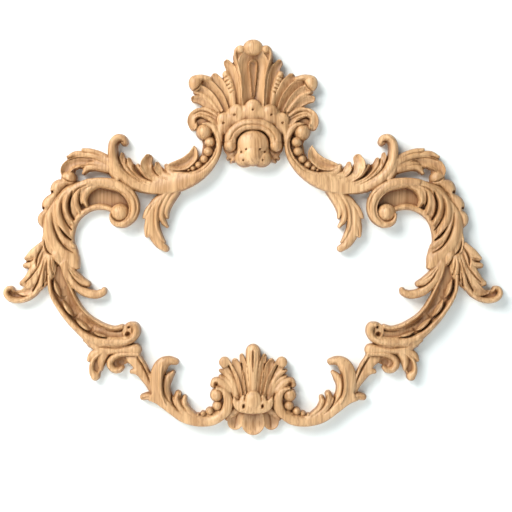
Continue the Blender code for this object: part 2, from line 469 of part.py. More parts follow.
def lower_leaf(c):
    """The spread leaf at the widest point, with its curled tip."""
    c.plate([(205, 243), (215.3, 244), (223, 253.6), (229, 257.4), (229, 262), (231, 265.4), (226, 269),
             (219.8, 267), (221, 271), (227.5, 278), (234, 281), (234, 285.4), (228, 288), (221, 290),
             (217.2, 288), (214.7, 290.4), (210.2, 287.6), (206.3, 281.7), (205, 278.5), (203.8, 279.6),
             (200.6, 277), (198.7, 271), (198.3, 264.5), (194.8, 265.6), (191.4, 263), (197, 253)],
            0.46, curved=False)
    c.limb(stroke([(207, 252), (214, 268), (220, 279), (226.6, 286.6)], (3, 5, 5.6, 3.6),
                  (0.42, 0.60, 0.52)), bow=0.2)
    c.limb(stroke([(207, 240), (216.4, 249.4), (222.6, 254.6), (228.4, 258.4)], (3, 4.8, 4.6, 2.4),
                  (0.44, 0.62, 0.62, 0.58)), bow=0.2, lean=0.15)
    c.limb(stroke([(207, 246), (216, 258.4), (222, 264.4), (229.6, 265.8)], (3, 5, 4.8, 2.8),
                  (0.44, 0.62, 0.62, 0.56)), bow=0.2, lean=0.15)
    c.limb(stroke([(207, 250), (216.8, 267), (224.6, 278), (232.6, 283.4)], (3, 6, 5.6, 3),
                  (0.44, 0.66, 0.64, 0.54)), bow=0.2, lean=0.15)
    c.limb(stroke([(208, 256), (213.8, 274), (222, 287.6), (232, 295.6), (242.4, 297.4), (247.8, 293.6),
                   (245.6, 289.2)], (3, 6.6, 6.8, 6, 5.4, 5, 3), (0.44, 0.62, 0.60, 0.56, 0.56)),
           bow=-0.4)
    c.limb(stroke([(205.6, 250), (210.6, 267), (214.8, 289)], (3, 6, 1.8), (0.44, 0.66, 0.54)), bow=0.2)
    c.limb(stroke([(204, 248), (205.4, 263), (203.6, 278)], (3, 5.8, 1.8), (0.44, 0.66, 0.54)), bow=0.2)
    c.limb(stroke([(202.6, 247), (198.6, 256), (194.2, 264.6)], (3, 4.8, 1.8), (0.44, 0.62, 0.52)),
           bow=0.2)
    c.cut(stroke([(210.4, 240), (209.4, 247), (207, 252), (203.4, 254.8)], (1.0, 1.6, 1.8, 1.0),
                 (0.04, 0.14, 0.2, 0.1)))
    c.cut(stroke([(211.6, 246), (215.4, 253), (217.8, 259), (217.8, 266)], (1.0, 1.8, 2.4, 1.4),
                 (0.04, 0.18, 0.26, 0.1)))
    c.cut(stroke([(219, 256.6), (223, 261), (229, 262.2)], (1.0, 1.5, 1.2), (0.02, 0.08, 0.1)),
          sharp=1.4)
    c.cut(stroke([(211, 252), (216, 266), (223, 276), (229, 282)], (1.0, 1.5, 1.5, 1.0),
                 (0.02, 0.08, 0.08)), sharp=1.4)
    c.cut(stroke([(209, 257), (212.6, 270), (217, 282), (221.6, 291)], (0.9, 1.4, 1.4, 1.2),
                 (0.02, 0.10, 0.12)), sharp=1.4)
    c.cut(stroke([(207, 258), (209.4, 270), (211.6, 286)], (0.9, 1.2, 1.0), (0.02, 0.08, 0.10)),
          sharp=1.4)
    c.cut(stroke([(205.8, 257), (208, 268), (207.4, 281)], (0.9, 1.3, 1.2), (0.02, 0.09, 0.14)),
          sharp=1.4)
    c.cut(stroke([(203.4, 257), (203.4, 266), (201.4, 275)], (0.8, 1.1, 0.8), (0.02, 0.06, 0.06)),
          sharp=1.4)
    c.cut(stroke([(201.6, 256), (199.6, 262), (197.4, 266)], (0.9, 1.3, 1.0), (0.02, 0.10, 0.14)),
          sharp=1.4)


def tendrils(c):
    """The two tendrils that curl into the opening."""
    c.limb(stroke([(190, 262), (187, 268), (181.6, 275), (174.6, 280.6), (167.2, 284)],
                  (4, 4.8, 5.2, 4.8, 3.2), (0.56, 0.48)), bow=0.25)
    c.limb(stroke([(191, 264), (188, 271), (184.5, 278), (178, 286), (169, 292.6), (159, 294.6),
                   (152.4, 292.4), (150.8, 290)], (4, 4.6, 5, 4.8, 4.6, 4.4, 3.8, 2.8), (0.56, 0.50)),
           bow=0.2)
    c.cut(stroke([(186, 270), (181, 279), (174, 285.6), (168, 288)], (1.0, 1.5, 1.4, 1.0),
                 (0.06, 0.16, 0.2, 0.16)))
    c.cut(stroke([(185, 268), (179, 275.6), (171, 281)], (0.8, 1.2, 0.8), (0.03, 0.06, 0.03)),
          sharp=1.4)


def lower_band(c):
    """The channelled band with its row of long husks, and the scroll that ends it."""
    outer = [(207.5, 280), (206.7, 290), (202.2, 301.7), (193.2, 315.8), (180.4, 330), (170, 338),
             (150, 346), (132, 345), (122, 338)]
    inner = [(190, 266), (185, 284), (177.2, 300.5), (167, 314.5), (154, 323.7), (147.7, 326.4),
             (141.7, 327), (134, 326), (124, 330)]
    c.ribbon(outer, inner, (0.28, 0.30, 0.42), bow=0.0, lean=(-0.4, -0.3, -0.1))
    c.limb(stroke([(205.6, 276), (204.4, 290), (200, 301), (193.5, 311), (186, 320.4), (176, 330),
                   (166, 337.6), (154, 341.6), (140, 342.2), (129, 341), (121.6, 337.4), (118.2, 331.4),
                   (119.6, 326), (124, 324.8)], (2.2, 2.4, 2.6, 2.8, 3.2, 4, 5, 5.6, 5.2, 4.8, 4.4, 4.2,
                                                 3.8, 2.8), (0.60, 0.64, 0.66, 0.64)), bow=0.3)
    c.limb(stroke([(193, 264), (189, 278), (184.4, 288), (179, 299), (173, 308.6), (166, 316),
                   (156, 322.8), (148, 326.6), (140, 328.4), (132.8, 327)],
                  (2.6, 2, 1.7, 1.7, 1.7, 1.7, 2, 2.2, 2.4, 2.8), (0.54, 0.54, 0.58)), bow=0.3)
    for points, half_width in (([(200.6, 278), (198.4, 286.6), (195.6, 293.6), (192, 301)], 3.6),
                               ([(192.6, 299), (188.8, 306), (185.2, 312), (180.4, 318.4)], 3.7),
                               ([(180.6, 316.4), (176, 321.4), (171, 326), (165.4, 330)], 3.6),
                               ([(166.4, 328.6), (161.6, 332), (156.6, 334.4), (151, 336)], 2.8),
                               ([(151, 335.4), (146, 337), (140, 337.4)], 1.7)):
        widths = half_width * np.array(HUSK_SHAPE)
        c.limb(stroke(points, widths, (0.48, 0.66, 0.50)), bow=0.3, lean=-0.2)
    c.cut(stroke([(203, 281), (200.6, 292), (195, 303.4), (187, 314), (178.6, 323.2), (169, 331.4),
                  (159, 336.2), (148, 338.2)], (1.8, 2.0, 1.6), (0.36, 0.36, 0.2)), floor=0.14)
    c.cut(stroke([(190.6, 290), (186, 301), (184.6, 307)], (1.4, 2.0, 1.4), (0.02, 0.08, 0.02)))
    c.cut(stroke([(181.6, 306), (176, 316), (172.6, 321)], (1.4, 2.0, 1.4), (0.02, 0.08, 0.02)))
    c.cut(stroke([(152, 330), (143, 331.6), (134, 331), (130.4, 328)], (1.0, 1.6, 1.8, 1.4),
                 (0.02, 0.10, 0.16)))
    c.ball(123.4, 331.6, 8.8, 9.8, 0.50, 0.92)
    c.cut(stroke([(136, 338.6), (127, 338.6), (122.6, 334), (122.6, 329)], (1.2, 1.6, 1.6, 1.2),
                 (0.02, 0.10, 0.08)))
    c.scoop(127.4, 334.2, 3.2, 3.2, 0.3, floor=0.16)
    c.scoop(126, 327.6, 1.5, 1.5, 0.26, floor=0.2)


def foot_leaf(c):
    """The leaf under the band's scroll and the stem that joins it to the lower S-scroll."""
    c.plate([(172, 336), (169.6, 341), (167, 347), (162, 349.6), (160, 352), (164, 355), (163.6, 362),
             (164, 372), (155.6, 373), (152, 369), (149.6, 361), (147, 366), (140, 371), (134, 370),
             (131, 365), (127, 363.4), (122.4, 366), (114, 356), (116, 346), (124, 342), (150, 338)],
            0.32, curved=False)
    c.limb(stroke([(169, 340), (158, 346), (148, 349.4), (138, 350), (126, 350), (119.4, 350)],
                  (3, 5.4, 5.2, 4.4, 4.8, 6.2), (0.54, 0.58, 0.58)), bow=0.2)
    c.cut(stroke([(160, 347), (149, 347.6), (138, 348.4), (124, 346)], (0.8, 1.5, 1.6, 1.0),
                 (0.0, 0.10, 0.10, 0.04)), sharp=1.4)
    c.limb(stroke([(150, 351), (158, 353), (163.4, 356.4), (166, 360.2)], (4, 4.4, 3.8, 2.2),
                  (0.56, 0.48)), bow=0.2)
    c.limb(stroke([(149, 353), (152.6, 358), (153.8, 364), (153.4, 370)], (4, 4.4, 3.6, 1.5),
                  (0.54, 0.46)), bow=0.2)
    c.limb(stroke([(150, 352), (157.6, 357), (161, 364), (160.8, 373)], (3.6, 5, 4.8, 4.4),
                  (0.52, 0.46)), bow=-0.42)
    c.ball(160, 375.6, 5.7, 5.4, 0.54, 0.5)
    c.limb(stroke([(116.6, 354.6), (126, 354), (136, 355), (143, 359.4), (144.8, 365), (141, 370),
                   (135.6, 370.4), (132.6, 368)], (2.4, 2.8, 3, 3.4, 3.6, 3.4, 3, 2.2), (0.60, 0.56)),
           bow=0.3)
    c.scoop(133.6, 362.6, 4.8, 4.6, 0.14, floor=0.2)
    c.plate([(130, 357.4), (120, 355), (114, 356), (111, 362), (107, 370), (104.4, 378), (100, 390),
             (103, 394), (108, 387), (113, 380.4), (119, 375), (124.4, 373.6), (124.6, 370.4),
             (120.6, 368), (123.6, 365.4)], 0.44, dish=-0.1)
    c.limb(stroke([(125, 360), (118, 364), (112, 373), (106, 382), (101.6, 391)], (3.4, 5.6, 6, 5, 4),
                  (0.52, 0.50)), bow=0.2, lean=0.2)
    c.limb(stroke([(116, 356), (110.4, 365), (105.4, 376), (102, 386)], (1.6, 2, 2, 2), (0.54, 0.54)),
           bow=0.2)
    c.cut(stroke([(117.4, 358), (111.6, 367), (106.6, 377), (103.4, 385)], (1.2, 1.7, 1.5, 1.0),
                 (0.10, 0.16, 0.10, 0.0)), sharp=1.4)


def lower_scroll(c):
    """The lower S-scroll: upright leaf, band, flutes, boss and pearls."""
    outer = [(106, 401), (99.6, 403.4), (94.4, 407), (85.3, 414), (74.8, 421.5), (64.4, 425.4),
             (52, 427), (39.8, 425.2), (30.4, 419.6), (24.2, 413), (21.6, 404), (23.6, 394.6),
             (29.6, 388.2), (38.4, 386.8)]
    inner = [(96, 378), (86, 392), (78, 402), (67.6, 409.6), (61, 413.4), (50, 416.4), (41, 415.4),
             (34.4, 411), (31, 403), (31.7, 395.6), (34.4, 391.4), (39, 390)]
    c.ribbon(outer, inner, (0.60, 0.64, 0.66, 0.66), bow=0.12, lean=(0.1, 0.1, 0, 0))
    c.limb(stroke([(87.6, 406), (95, 396), (97.4, 382), (95.8, 371), (91.6, 364), (85.4, 361),
                   (79, 362)], (2.4, 6, 7.2, 7.4, 6.6, 4.6, 3.4), (0.58, 0.66, 0.66, 0.60)), bow=0.2,
           lean=-0.1)
    c.limb(stroke([(89, 359), (93, 367), (94.6, 380), (93.8, 393), (89, 404)], (1.6, 3, 3.4, 3, 1.6),
                  (0.64, 0.72, 0.70)), bow=0.3, lean=-0.1)
    c.limb(stroke([(81.6, 373), (85.4, 377.6), (88, 385), (87.6, 393), (84.4, 400), (78, 408)],
                  (2.4, 4.2, 3.8, 3.8, 4, 4), (0.50, 0.60, 0.62)), lean=0.2)
    c.cut(stroke([(86.4, 369.4), (90.6, 376), (91.8, 386), (89.6, 395.6), (83.6, 403.6), (76, 410)],
                 (1.6, 1.8, 1.8, 1.8, 1.4, 1.0), (0.2, 0.2, 0.16, 0.14, 0.08, 0.0)))
    c.limb(stroke([(111.8, 397.4), (106, 396.6), (99, 399.4), (92, 403)], (3.4, 4.2, 4.2, 3),
                  (0.50, 0.60)), lean=0.1)
    c.cut(stroke([(113, 399), (107, 397.4), (101, 399.4)], (1.0, 1.4, 0.9), (0.08, 0.06, 0.0)),
          sharp=1.3)
    c.limb(stroke([(76.6, 394), (78, 399.6), (75.6, 406.6), (69.6, 413.4), (60, 419)],
                  (3.4, 3.8, 4, 3.6, 3), (0.56, 0.66, 0.64)), lean=-0.15)
    c.limb(stroke([(70, 397.6), (70.8, 403), (67.4, 410), (58, 417.4)], (2.6, 3.6, 3.8, 3),
                  (0.52, 0.64, 0.64)), lean=-0.15)
    c.cut(stroke([(82.4, 391), (83, 400), (78.6, 408.4), (71, 415.4)], (1.6, 2.2, 1.8, 1.0),
                 (0.26, 0.26, 0.12, 0.0)))
    c.cut(stroke([(75, 392), (75.4, 399), (72, 406.4), (65, 413)], (0.9, 1.3, 1.3, 0.9),
                 (0.05, 0.10, 0.08, 0.0)), sharp=1.4)
    c.cut(stroke([(36.4, 391.6), (33, 397), (33.2, 404), (37, 410.6), (44, 415.4), (53, 417.6)],
                 (1.1, 1.3, 1.0), (0.08, 0.08, 0.03)), sharp=1.3)
    c.plate([(42, 392), (40, 387), (30, 390), (20, 394), (16, 412), (30, 412), (36, 411), (50, 416),
             (60, 415), (50, 411.6), (41, 406), (40.4, 398)], 0.32, curved=False)
    c.ball(38.2, 395.2, 6.6, 6.8, 0.66, 0.5)
    pearls = ((37.2, 406.2, 5.2), (45, 411.6, 4.2), (51.5, 414, 3.0), (56.6, 415, 2.0))
    for across, down, radius in pearls:
        c.ball(across, down, radius, radius, 0.60, 0.5)


def shell(c):
    """The shell at the foot: a small fan, a bowl with scallops and five petals."""
    c.plate([(0, 358), (10, 360), (20, 366), (28, 370), (34, 380), (28, 400), (0, 402)], 0.36,
            both_halves=True, curved=False)
    c.limb(stroke([(0, 352.4), (0, 360), (0, 372), (0, 395)], (8.2, 8, 6.6, 5), (0.62, 0.66)), bow=0.25)
    c.cut(stroke([(0, 351), (0, 356), (0, 362), (0, 372)], (1.2, 1.9, 1.7, 0.8),
                 (0.1, 0.2, 0.16, 0.04)))
    c.cut(stroke([(4, 353), (3.4, 362), (2, 374)], (0.9, 1.3, 0.9), (0.05, 0.05, 0.0)), sharp=1.4)
    c.limb(stroke([(12.6, 356.4), (10.6, 365), (8.8, 378), (7, 392)], (2.4, 3.8, 3.6, 3), (0.54, 0.64)),
           bow=-0.12, lean=-0.2)
    c.limb(stroke([(19.6, 362), (16.8, 369), (13.6, 379), (11, 393)], (3.2, 4.8, 4.2, 3.4),
                  (0.54, 0.64)), bow=-0.16, lean=-0.2)
    c.cut(stroke([(13, 364), (12, 371), (11, 382)], (1.4, 1.6, 1.0), (0.24, 0.14, 0.03)))
    c.ball(30.2, 362.4, 5.4, 5.2, 0.60, 0.5)
    c.limb(stroke([(29.4, 363), (25, 370), (19.6, 380), (15, 394)], (4.6, 5, 4.4, 3.6), (0.56, 0.64)),
           bow=-0.16, lean=-0.2)
    c.cut(stroke([(26, 366), (22.4, 373), (17.6, 384)], (1.4, 1.6, 1.0), (0.22, 0.12, 0.03)))
    c.limb(stroke([(34.4, 371), (28.6, 374), (22.6, 382), (18, 394)], (1.6, 4, 4, 3.4), (0.50, 0.60)),
           lean=-0.15)
    c.limb(stroke([(34, 377.4), (28.6, 381), (22.6, 388), (18, 399)], (2.4, 4.2, 4.4, 4.4),
                  (0.50, 0.60)), lean=-0.15)
    c.limb(stroke([(41.4, 385), (39.4, 381.6), (33, 383.4), (26, 391)], (3.2, 3.8, 4.6, 4.4),
                  (0.52, 0.56)), bow=0.2)
    c.scoop(38.6, 384.2, 2.2, 2.4, 0.22)
    c.plate([(0, 391), (10, 391.6), (17, 394), (21.4, 399.6), (20.6, 406.6), (16, 411.4), (8, 413.2),
             (0, 413)], 0.68, dish=-0.1, rim=7, both_halves=True)
    c.ball(0, 399.4, 9, 8.8, 0.86, 0.86)
    c.ball(12.2, 403, 9.6, 9.2, 0.82, 0.84)
    c.ball(0, 404, 21, 9.6, 0.82, 0.72)
    c.cut(stroke([(20, 398.4), (15, 396.4), (9.6, 398.4)], (1.2, 1.6, 1.0), (0.10, 0.08, 0.02)))
    c.scoop(10.2, 405.6, 1.5, 1.8, 0.26)
    c.limb(stroke([(13, 408), (17.6, 415), (19.6, 423)], (4, 7.4, 6.8), (0.46, 0.44, 0.42)), bow=-0.3)
    c.limb(stroke([(18, 410), (24, 414.6), (27.6, 419.6)], (5, 4.6, 2), (0.46, 0.40)))
    c.ball(0, 417.6, 13, 18, 0.36, 1.36)
    c.cut(stroke([(7.6, 413), (10.6, 420), (13, 427.6)], (1.2, 1.5, 1.2), (0.10, 0.14, 0.08)))


SECTIONS = (crown, collar, upper_scroll, hanging_leaf, shoulder_leaf, husks, side_scroll, acanthus,
            lower_leaf, tendrils, lower_band, foot_leaf, lower_scroll, shell)


def squares_to_metres():
    return PANEL_WIDTH / SHEET_WIDTH


def carve(across, down):
    """Height in shares of the relief, and how far inside the outline in squares."""
    carving = Carving(np.abs(across), down)
    for section in SECTIONS:
        section(carving)
    least = THINNEST_WOOD / RELIEF_DEPTH
    return np.maximum(carving.height, least), carving.inside


def sheet_reach():
    """How far the strokes reach across and down the sheet."""
    drawn = Carving(np.zeros(0), np.zeros(0))
    for section in SECTIONS:
        section(drawn)
    return drawn.reach


def sheet_grid():
    """Grid over the whole sheet, carved on the left half and mirrored."""
    across, top, bottom = sheet_reach()
    half = np.arange(0, across + CELL, CELL)
    down = np.arange(top - CELL, bottom + CELL, CELL)
    grid_across, grid_down = np.meshgrid(half, down)
    height, inside = carve(grid_across.ravel(), grid_down.ravel())
    height, inside = height.reshape(grid_across.shape), inside.reshape(grid_across.shape)
    mirrored = [np.hstack([field[:, :0:-1], field]) for field in (height, inside)]
    x = np.concatenate([-half[:0:-1], half])
    return x, down, mirrored[0], mirrored[1]


def contour_rings(x, y, field):
    """Closed rings where the field is zero, each as an array of points."""
    field = np.where(np.abs(field) < 1e-6, 1e-6, field)
    solid = field > 0
    links = {}

    def crossing(i, j, horizontal):
        other = (i, j + 1) if horizontal else (i + 1, j)
        t = field[i, j] / (field[i, j] - field[other])
        return (x[j] + t * CELL, y[i]) if horizontal else (x[j], y[i] + t * CELL)

    corners = solid[:-1, :-1].astype(int) + solid[:-1, 1:] + solid[1:, :-1] + solid[1:, 1:]
    for i, j in zip(*np.nonzero((corners > 0) & (corners < 4))):
        top, bottom = (i, j, True), (i + 1, j, True)
        left, right = (i, j, False), (i, j + 1, False)
        marks = (solid[i, j], solid[i, j + 1], solid[i + 1, j + 1], solid[i + 1, j])
        sides = (top, right, bottom, left)
        cut = [k for k in range(4) if marks[k] != marks[(k + 1) % 4]]
        if len(cut) == 2:
            pairs = [cut]
        else:
            centre = field[i, j] + field[i, j + 1] + field[i + 1, j] + field[i + 1, j + 1] > 0
            pairs = [[0, 1], [2, 3]] if centre == marks[0] else [[3, 0], [1, 2]]
        for first, second in pairs:
            links.setdefault(sides[first], []).append(sides[second])
            links.setdefault(sides[second], []).append(sides[first])
    rings, seen = [], set()
    for start in links:
        if start in seen:
            continue
        ring, here, previous = [], start, None
        while here not in seen:
            seen.add(here)
            ring.append(crossing(*here))
            ahead = [link for link in links[here] if link != previous]
            previous, here = here, ahead[0]
        rings.append(np.array(ring))
    return rings


def ring_area(ring):
    nxt = np.roll(ring, -1, axis=0)
    return 0.5 * np.sum(ring[:, 0] * nxt[:, 1] - nxt[:, 0] * ring[:, 1])


def thinned(ring, slack):
    """The ring with only the points it needs to stay within the slack of itself."""
    far = int(np.argmax(np.hypot(*(ring - ring[0]).T)))
    keep = np.zeros(len(ring) + 1, bool)
    keep[[0, far, len(ring)]] = True
    closed = np.vstack([ring, ring[:1]])
    spans = [(0, far), (far, len(ring))]
    while spans:
        first, last = spans.pop()
        if last - first < 2:
            continue
        chord = closed[last] - closed[first]
        offset = closed[first + 1:last] - closed[first]
        length = np.hypot(*chord)
        if length > 0:
            distance = np.abs(chord[0] * offset[:, 1] - chord[1] * offset[:, 0]) / length
        else:
            distance = np.hypot(*offset.T)
        worst = int(np.argmax(distance))
        if distance[worst] > slack:
            middle = first + 1 + worst
            keep[middle] = True
            spans += [(first, middle), (middle, last)]
    return closed[:-1][keep[:-1]]


def outline(x, y, inside):
    """The wood's outer ring and the rings of its openings."""
    rings = [ring for ring in contour_rings(x, y, inside) if abs(ring_area(ring)) > SMALLEST_ISLAND]
    rings = [thinned(ring, CONTOUR_SLACK) for ring in rings]
    return sorted(rings, key=lambda ring: -abs(ring_area(ring)))


def within(x, y, rings):
    inside = np.zeros(x.shape, bool)
    for ring in rings:
        inside ^= enclosed(x, y, ring[:, 0], ring[:, 1])
    return inside


def triangles(points, rings):
    """Triangles over the wood, their corners as places in the list of points."""
    edges, start = [], 0
    for ring in rings:
        count = len(ring)
        edges += [(start + k, start + (k + 1) % count) for k in range(count)]
        start += count
    made = delaunay_2d_cdt([Vector(point) for point in points], edges, [], 0, 1e-6)
    places, faces, origins = np.array([tuple(v) for v in made[0]]), np.array(made[2]), made[3]
    first = np.array([origin[0] for origin in origins])
    corners = places[faces]
    centres = corners.mean(axis=1)
    faces = faces[within(centres[:, 0], centres[:, 1], rings)]
    return first[faces]


def worst_places(points, heights, faces, x, y, height, allowed):
    """In each triangle, the grid place whose height the triangle misses most."""
    found = []
    for corners in faces:
        a, b, c = points[corners]
        low, high = np.minimum(np.minimum(a, b), c), np.maximum(np.maximum(a, b), c)
        j0, j1 = np.searchsorted(x, [low[0], high[0]])
        i0, i1 = np.searchsorted(y, [low[1], high[1]])
        if j1 - j0 < 1 or i1 - i0 < 1:
            continue
        patch = allowed[i0:i1, j0:j1]
        if not patch.any():
            continue
        px, py = np.meshgrid(x[j0:j1], y[i0:i1])
        area = (b[0] - a[0]) * (c[1] - a[1]) - (c[0] - a[0]) * (b[1] - a[1])
        u = ((px - a[0]) * (c[1] - a[1]) - (c[0] - a[0]) * (py - a[1])) / area
        v = ((b[0] - a[0]) * (py - a[1]) - (px - a[0]) * (b[1] - a[1])) / area
        ha, hb, hc = heights[corners]
        flat = ha + u * (hb - ha) + v * (hc - ha)
        miss = np.abs(height[i0:i1, j0:j1] - flat) * (patch & (u > 0) & (v > 0) & (u + v < 1))
        i, j = np.unravel_index(int(np.argmax(miss)), miss.shape)
        if miss[i, j] > 0:
            found.append((miss[i, j] * np.sqrt(abs(area)), i0 + i, j0 + j))
    return sorted(found, reverse=True)


def relief_surface(x, y, height, inside, rings):
    """Points, heights and triangles of the carved front, refined where the form turns most."""
    ring_points = np.vstack(rings)
    ring_heights, _ = carve(ring_points[:, 0], ring_points[:, 1])
    allowed = inside > EDGE_CLEARANCE
    stride = round(SEED_SPACING / CELL)
    chosen = np.zeros(allowed.shape, bool)
    middle = len(x) // 2
    chosen[::stride, middle % stride::stride] = True
    chosen &= allowed
    for step in range(ROUNDS):
        spots = np.argwhere(chosen)
        points = np.vstack([ring_points, np.column_stack([x[spots[:, 1]], y[spots[:, 0]]])])
        heights = np.concatenate([ring_heights, height[spots[:, 0], spots[:, 1]]])
        faces = triangles(points, rings)
        wanted = (INNER_POINTS - len(spots)) // (ROUNDS - step)
        added = 0
        for _, i, j in worst_places(points, heights, faces, x, y, height, allowed):
            if added >= wanted:
                break
            for column in {j, len(x) - 1 - j}:
                added += not chosen[i, column]
                chosen[i, column] = True
    spots = np.argwhere(chosen)
    points = np.vstack([ring_points, np.column_stack([x[spots[:, 1]], y[spots[:, 0]]])])
    heights = np.concatenate([ring_heights, height[spots[:, 0], spots[:, 1]]])
    return points, heights, triangles(points, rings)


def turned(points, faces):
    """The triangles all facing the front."""
    a, b, c = (points[faces[:, k]] for k in range(3))
    area = (b[:, 0] - a[:, 0]) * (c[:, 1] - a[:, 1]) - (c[:, 0] - a[:, 0]) * (b[:, 1] - a[:, 1])
    return np.where((area < 0)[:, None], faces[:, ::-1], faces)


def solid_mesh(points, heights, front, back, ring_count):
    """Closed body: carved front, upright edges and flat back. Sheet places become metres."""
    square = squares_to_metres()
    places = np.column_stack([points[:, 0], -heights * RELIEF_DEPTH / square,
                              MOUNT_DOWN - points[:, 1]]) * square
    flat = places[:ring_count] * (1, 0, 1)
    vertices = np.vstack([places, flat])
    shift = len(places)
    flat_points = np.column_stack([places[:, 0], places[:, 2]])
    front, back = turned(flat_points, front), turned(flat_points, back)
    directed = {(face[k], face[(k + 1) % 3]) for face in front for k in range(3)}
    edge = [(p, q) for p, q in directed if (q, p) not in directed]
    walls = [(q, p, p + shift, q + shift) for p, q in edge]
    halves = [wall[:3] for wall in walls] + [(wall[0], wall[2], wall[3]) for wall in walls]
    faces = [tuple(face) for face in front] + [tuple(face[::-1] + shift) for face in back] + sorted(halves)
    mesh = bpy.data.meshes.new("carved_frame")
    mesh.from_pydata([tuple(vertex) for vertex in vertices], [],
                     [tuple(int(k) for k in face) for face in faces])
    mesh.validate()
    return mesh


def wood():
    material = bpy.data.materials.new("carved_wood")
    material.use_nodes = True
    shader = material.node_tree.nodes["Principled BSDF"]
    shader.inputs["Base Color"].default_value = WOOD_COLOUR
    shader.inputs["Roughness"].default_value = WOOD_ROUGHNESS
    shader.inputs["Metallic"].default_value = 0.0
    return material


def carved_frame():
    x, y, height, inside = sheet_grid()
    rings = outline(x, y, inside)
    points, heights, front = relief_surface(x, y, height, inside, rings)
    ring_points = np.vstack(rings)
    back = triangles(ring_points, rings)
    mesh = solid_mesh(points, heights, front, back, len(ring_points))
    mesh.materials.append(wood())
    frame = bpy.data.objects.new("carved_frame", mesh)
    bpy.context.scene.collection.objects.link(frame)
    return frame


for old in list(bpy.data.objects):
    bpy.data.objects.remove(old, do_unlink=True)
carved_frame()
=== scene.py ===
"""Carved wooden applique: a cartouche of scrolls, leaves and shells, hung flat on a wall.

The relief is carved on the same drawing sheet as the solid, much finer, and dressed as pale wood.
"""

import bpy
import numpy as np
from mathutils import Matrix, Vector
from mathutils.geometry import delaunay_2d_cdt


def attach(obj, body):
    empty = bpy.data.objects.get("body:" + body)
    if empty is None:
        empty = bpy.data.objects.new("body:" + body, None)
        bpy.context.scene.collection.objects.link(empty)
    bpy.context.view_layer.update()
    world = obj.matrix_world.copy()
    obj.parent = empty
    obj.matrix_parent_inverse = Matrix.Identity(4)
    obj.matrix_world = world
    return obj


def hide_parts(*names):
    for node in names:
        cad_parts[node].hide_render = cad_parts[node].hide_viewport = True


# Sizes of the carving, in metres.
PANEL_WIDTH = 0.7999
RELIEF_DEPTH = 0.0409
THINNEST_WOOD = 0.009

# The drawing sheet, in squares: the mount lies on its centre line, so far down.
SHEET_WIDTH = 502.0
MOUNT_DOWN = 118.0
CENTRE_SQUEEZE = 1.4
CENTRE_REACH = 14.0

# The cut of the strokes. Lengths are in squares, heights and drops in shares of the relief's depth.
CELL = 0.65
CURVE_STEP = 0.9
FLANK = 1.0
FLANK_DROP = 0.45
EDGE_SHARE = 0.83
ROLL = 1.15
ROUNDNESS = 2.2
GROOVE_FLOOR = 0.22
VEIN_SHARPNESS = 1.4
FAR_OUTSIDE = 9.0
HUSK_SHAPE = (0.2, 0.8, 1.0, 0.8, 0.2)
CONTOUR_SLACK = 0.05
SMALLEST_ISLAND = 25.0
EDGE_CLEARANCE = 0.4
NEAR_EDGE = 1.0
INNER_POINTS = 84000
BEND_BESIDE = 0.8

# Painted shade in the recesses: windows in cells, each with its weight, that tell a hollow from the wood
# around it.
PAINTED_SHADE_REACHES = ((2, 0.45), (6, 0.45), (14, 0.3))
SHARP_ANGLE = np.radians(58)
# How far a place must lie below the wood around it for full painted shade, how strong that shade is, and
# its colour.
PAINTED_SHADE_DEPTH = 0.12
PAINTED_SHADE_STRENGTH = 0.82
PAINTED_SHADE_TINT = (0.40, 0.25, 0.14, 1)

# The wood. Each pattern of the grain has its scale, stretch, detail, and lowest and highest level.
STAVE_START = 0.078
STAVE_WIDTH = 0.080
GRAIN_SWAY = 0.02
GRAIN_WANDER = (14.0, 0.5, 2.0)
GRAIN = ((42.0, 0.05, 2.0, 0.22, 0.78), (150.0, 0.035, 3.0, 0.38, 0.66), (340.0, 0.03, 3.0, 0.42, 0.66))
MIDDLE_GRAIN_SHARE = 0.42
PORE_SHARE = 0.8
PORE_TINT = (0.64, 0.54, 0.43, 1)
PORE_DEPTH = 0.00035
GOUGE_SCALE = 95.0
GOUGE_DEPTH = 0.0012
STAVE_TINT = ((0.10, 0.94), (0.14, 0.91), (0.20, 0.87))
LIGHT_WOOD = (0.69, 0.445, 0.235, 1)
MIDDLE_WOOD = (0.56, 0.335, 0.16, 1)
DARK_WOOD = (0.38, 0.19, 0.08, 1)
WOOD_ROUGHNESS = 0.46
WOOD_SPECULAR = 0.5

# The room, the view and the light, in metres and watts.
ROOM = 4.0
FLOOR = -0.85
WALL_GAP = 0.0006
WALL_COLOUR = (0.895, 0.935, 0.935, 1)
FLOOR_COLOUR = (0.86, 0.86, 0.85, 1)
PAINT_SPECULAR = 0.1
SENSOR_WIDTH = 36.0
VIEW_DISTANCE = 3.0
VIEW_WIDTH = 0.816
VIEW_ACROSS = 0.0046
VIEW_HEIGHT = -0.220
KEY_POWER = 146.0
FILL_POWER = 6.0
BEHIND_POWER = 60.0
WORLD_STRENGTH = 0.22
WORLD_COLOUR = (0.64, 0.87, 1.0, 1)


def smooth(points):
    """A curve through the points, with their widths and heights carried along it."""
    given = np.asarray(points, float)
    if len(given) < 3:
        return given
    ends = np.vstack([2 * given[0] - given[1], given, 2 * given[-1] - given[-2]])
    curve = []
    for i in range(len(given) - 1):
        before, start, end, after = ends[i:i + 4]
        count = max(2, int(np.hypot(*(end - start)[:2]) / CURVE_STEP) + 1)
        t = np.linspace(0, 1, count, endpoint=False)[:, None]
        curve.append(0.5 * (2 * start + (end - before) * t
                            + (2 * before - 5 * start + 4 * end - after) * t ** 2
                            + (3 * start - before - 3 * end + after) * t ** 3))
    curve.append(given[-1:])
    return np.vstack(curve)


